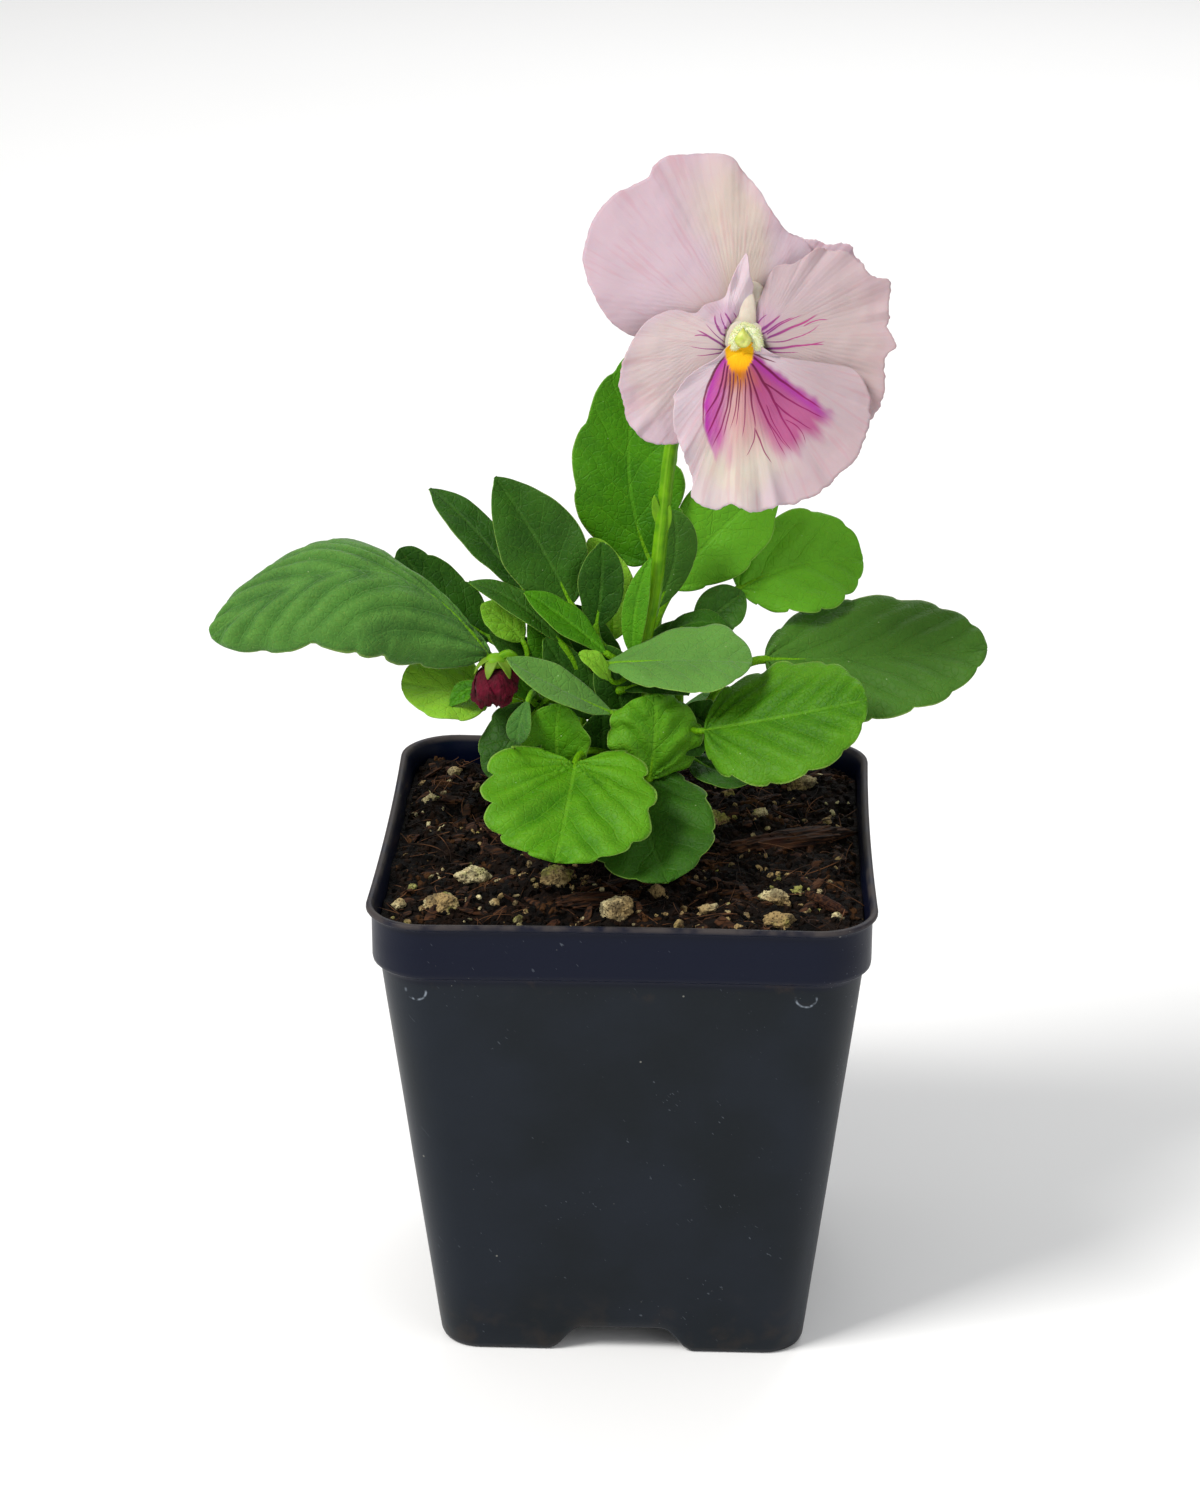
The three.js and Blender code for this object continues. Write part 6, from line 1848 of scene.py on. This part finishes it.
BUD_TOP = (-23.2, -7, 123.6)
BUD_TIP = (-23.7, -8, 117.6)
BUD_PROFILE = [(0, 1.6), (0.15, 2.9), (0.4, 3.6), (0.7, 3.7), (0.9, 3.0), (1, 2.2)]
BUD_STALK = [(-16.5, -2, 116), (-18.5, -5, 122), (-21, -7, 126), (-23.2, -7, 124.8)]
BUD_PETALS = 6
BUD_SEPAL_TURNS = (250, 310, 10, 130, 190)
BUD_FLAT = 0.8  # depth of the bud as a share of its width


def bud_petal(turn, seed):
    """One crumpled petal of the bud, wrapped round its axis."""
    rows, columns = 30, 15
    share = np.linspace(0.02, 1, rows)[:, None]
    across = np.linspace(-1, 1, columns)[None]
    places, sizes = zip(*BUD_PROFILE)
    radius = np.interp(share, places, sizes) * (1 + 0.1 * across) + 0.25 * share
    angle = math.radians(turn) + across * 0.95 + 0.9 * share
    ragged = 1 + 0.2 * noise(grid_of(across * 4, share * 0 + seed), seed)
    crumple = 0.8 * rough(grid_of(across * 3, share * 5, seed), 1.0, 3, seed)
    radius = (radius + crumple * share) * (1 - 0.15 * share * across**2)
    top, tip = np.array(BUD_TOP), np.array(BUD_TIP)
    grid = top + (tip - top) * (share * ragged)[..., None]
    grid = grid + grid_of(radius * np.cos(angle), radius * BUD_FLAT * np.sin(angle), 0)
    return sheet_sides(grid, grid_normal(grid) * 0.16), sheet_faces(rows, columns)


def bud_sepal(turn):
    angle = math.radians(turn)
    out = np.array((math.cos(angle), BUD_FLAT * math.sin(angle), 0))
    top = np.array(BUD_TOP)
    controls = [top + (0, 0, 1.7), top + out * 3.0 + (0, 0, 1.4), top + out * 3.9 + (0, 0, -1.4)]
    return curled_strap(controls, 16, 1.0, 0.18, 0.8, out + (0, 0, 0.3), 0.35)


def bud_material():
    graph = material_graph("bud petal")
    place = graph.place()
    streaks = graph.noise(graph.stretch(place, (1, 1, 0.18)), 0.55, 2)
    patches = graph.noise(place, 2.6, 2)
    colour = graph.coats(
        tint(58, 2, 20),
        (patches.step(0.3, 0.7), tint(98, 8, 38)),
        (streaks.step(0.52, 0.7) * 0.5, tint(38, 2, 12)))
    return graph.surface(colour, 0.6 + streaks * 0.15, streaks + patches, 0.4, sheen_weight=0.05,
                         specular_ior_level=0.15)


class PANSY_OT_bud(bpy.types.Operator):
    """Make the nodding dark bud with its calyx and stalk"""

    bl_idname = "pansy.bud"
    bl_label = "Bud"

    def execute(self, context):
        settings = context.scene.pansy_plant
        shell = Shell()
        points, faces = ball(4)
        middle = (np.array(BUD_TOP) + np.array(BUD_TIP)) / 2
        core = points * np.array((3.0, 2.5, 3.1)) * (1 + 0.08 * rough(points * 2, 1.0, 3, 4))[:, None]
        shell.add(core + middle, faces)
        for k in range(BUD_PETALS):
            shell.add(*bud_petal(360 / BUD_PETALS * k, k))
        settle(shell.object("bud_folded_petals", bud_material()), "bud_petal", "bud_petals")

        shell = Shell()
        add_stalk(shell, smooth_curve(BUD_STALK, 30), 0.8, 14, ribbed(4, 0.06))
        cap = np.array(BUD_TOP) + (0, 0, 1.0)
        shell.add(*egg((2.0, 1.8, 1.5), cap, 3), stalk=(0, 0, 0))
        for turn in BUD_SEPAL_TURNS:
            shell.add(*bud_sepal(turn), stalk=(0, 0, 0.5))
        piece = shell.object("bud_cap_sepals", stem_material(settings, "bud calyx green"))
        settle(piece, "stem_green", "bud_calyx")
        return {"FINISHED"}


# ---- Stage ----


class StageSettings(bpy.types.PropertyGroup):
    distance: bpy.props.FloatProperty(
        name="Camera Distance", description="From the camera to the point it looks at",
        default=0.67, min=0.1, unit="LENGTH")
    azimuth: bpy.props.FloatProperty(
        name="Azimuth", description="How far round to the right the camera stands",
        default=math.radians(2.3), subtype="ANGLE")
    elevation: bpy.props.FloatProperty(
        name="Elevation", description="How far up the camera stands",
        default=math.radians(22), subtype="ANGLE")
    lens: bpy.props.FloatProperty(
        name="Lens", description="Focal length on a 36 mm sensor", default=89.05, min=10)
    target: bpy.props.FloatVectorProperty(
        name="Target", description="Point that the camera looks at",
        default=((PLACE[0] - 5.1) * MM, 0, 105.1 * MM), size=3, unit="LENGTH")
    floor: colour_setting("Floor", "Colour of the floor", (0.97, 0.97, 0.97))


FLOOR_HALF = 4  # metres
SENSOR_WIDTH = 36
WORLD_STRENGTH = 0.44
LIGHT_TARGET = (0, 0, 0.1)
LIGHTS = [
    # name, place, side length, power and colour of each soft light
    ("key", (-0.8, -0.6, 1.2), 0.5, 20.5, (1.0, 0.985, 0.96)),
    ("fill", (0.9, -0.8, 0.7), 1.0, 3.5, (0.96, 0.98, 1.0)),
    ("back", (0.2, 1.1, 1.0), 1.0, 6.5, (1.0, 1.0, 1.0)),
]


def aim(thing, place, target):
    thing.location = place
    way = Vector(target) - Vector(place)
    thing.rotation_euler = way.to_track_quat("-Z", "Y").to_euler()
    bpy.context.scene.collection.objects.link(thing)


class PANSY_OT_stage(bpy.types.Operator):
    """Make the floor, the soft lights and the camera"""

    bl_idname = "pansy.stage"
    bl_label = "Stage"

    def execute(self, context):
        scene = context.scene
        settings = scene.pansy_stage
        graph = material_graph("floor")
        darker = tuple(value * 0.98 for value in settings.floor)
        colour = graph.mix(graph.noise(graph.place(), 260, 2), settings.floor[:], darker)
        corners = [(x * FLOOR_HALF, y * FLOOR_HALF, 0) for x, y in ((-1, -1), (1, -1), (1, 1), (-1, 1))]
        mesh = bpy.data.meshes.new("floor")
        mesh.from_pydata(corners, [], [(0, 1, 2, 3)])
        mesh.materials.append(graph.surface(colour, 0.9))
        floor = bpy.data.objects.new("floor", mesh)
        scene.collection.objects.link(floor)
        for name, place, size, power, colour in LIGHTS:
            light = bpy.data.lights.new(name, "AREA")
            light.shape = "SQUARE"
            light.size = size
            light.energy = power
            light.color = colour
            aim(bpy.data.objects.new(name, light), place, LIGHT_TARGET)
        world = bpy.data.worlds.new("studio")
        world.use_nodes = True
        background = world.node_tree.nodes["Background"]
        background.inputs["Color"].default_value = (1, 1, 1, 1)
        background.inputs["Strength"].default_value = WORLD_STRENGTH
        scene.world = world
        lens = bpy.data.cameras.new("camera")
        lens.lens = settings.lens
        lens.sensor_width = SENSOR_WIDTH
        lens.clip_start = 0.01
        camera = bpy.data.objects.new("camera", lens)
        target = Vector(settings.target)
        level = math.cos(settings.elevation) * settings.distance
        offset = Vector((
            level * math.sin(settings.azimuth),
            -level * math.cos(settings.azimuth),
            math.sin(settings.elevation) * settings.distance,
        ))
        aim(camera, target + offset, target)
        scene.camera = camera
        scene.view_settings.view_transform = "Standard"
        return {"FINISHED"}


# ---- Add-on ----

OPERATORS = [
    PANSY_OT_stage, PANSY_OT_pot, PANSY_OT_mix, PANSY_OT_litter, PANSY_OT_stem, PANSY_OT_leaves,
    PANSY_OT_petals, PANSY_OT_throat, PANSY_OT_calyx, PANSY_OT_bud,
]
SETTINGS = {
    "pansy_stage": StageSettings, "pansy_pot": PotSettings, "pansy_mix": MixSettings,
    "pansy_plant": PlantSettings, "pansy_flower": FlowerSettings,
}


class PANSY_PT_panel(bpy.types.Panel):
    """Lists the pieces and their settings"""

    bl_label = "Potted Pansy"
    bl_space_type = "VIEW_3D"
    bl_region_type = "UI"
    bl_category = "Pansy"

    def draw(self, context):
        layout = self.layout
        for operator in OPERATORS:
            layout.operator(operator.bl_idname)
        for name in SETTINGS:
            group = getattr(context.scene, name)
            box = layout.box()
            for key in group.bl_rna.properties.keys():
                if key not in ("name", "rna_type"):
                    box.prop(group, key)


def register():
    for settings in SETTINGS.values():
        bpy.utils.register_class(settings)
    for name, settings in SETTINGS.items():
        setattr(bpy.types.Scene, name, bpy.props.PointerProperty(type=settings))
    for operator in OPERATORS:
        bpy.utils.register_class(operator)
    bpy.utils.register_class(PANSY_PT_panel)


def unregister():
    bpy.utils.unregister_class(PANSY_PT_panel)
    for operator in reversed(OPERATORS):
        bpy.utils.unregister_class(operator)
    for name, settings in SETTINGS.items():
        delattr(bpy.types.Scene, name)
        bpy.utils.unregister_class(settings)


def main():
    register()
    for operator in OPERATORS:
        group, name = operator.bl_idname.split(".")
        getattr(getattr(bpy.ops, group), name)()


if __name__ == "__main__":
    main()
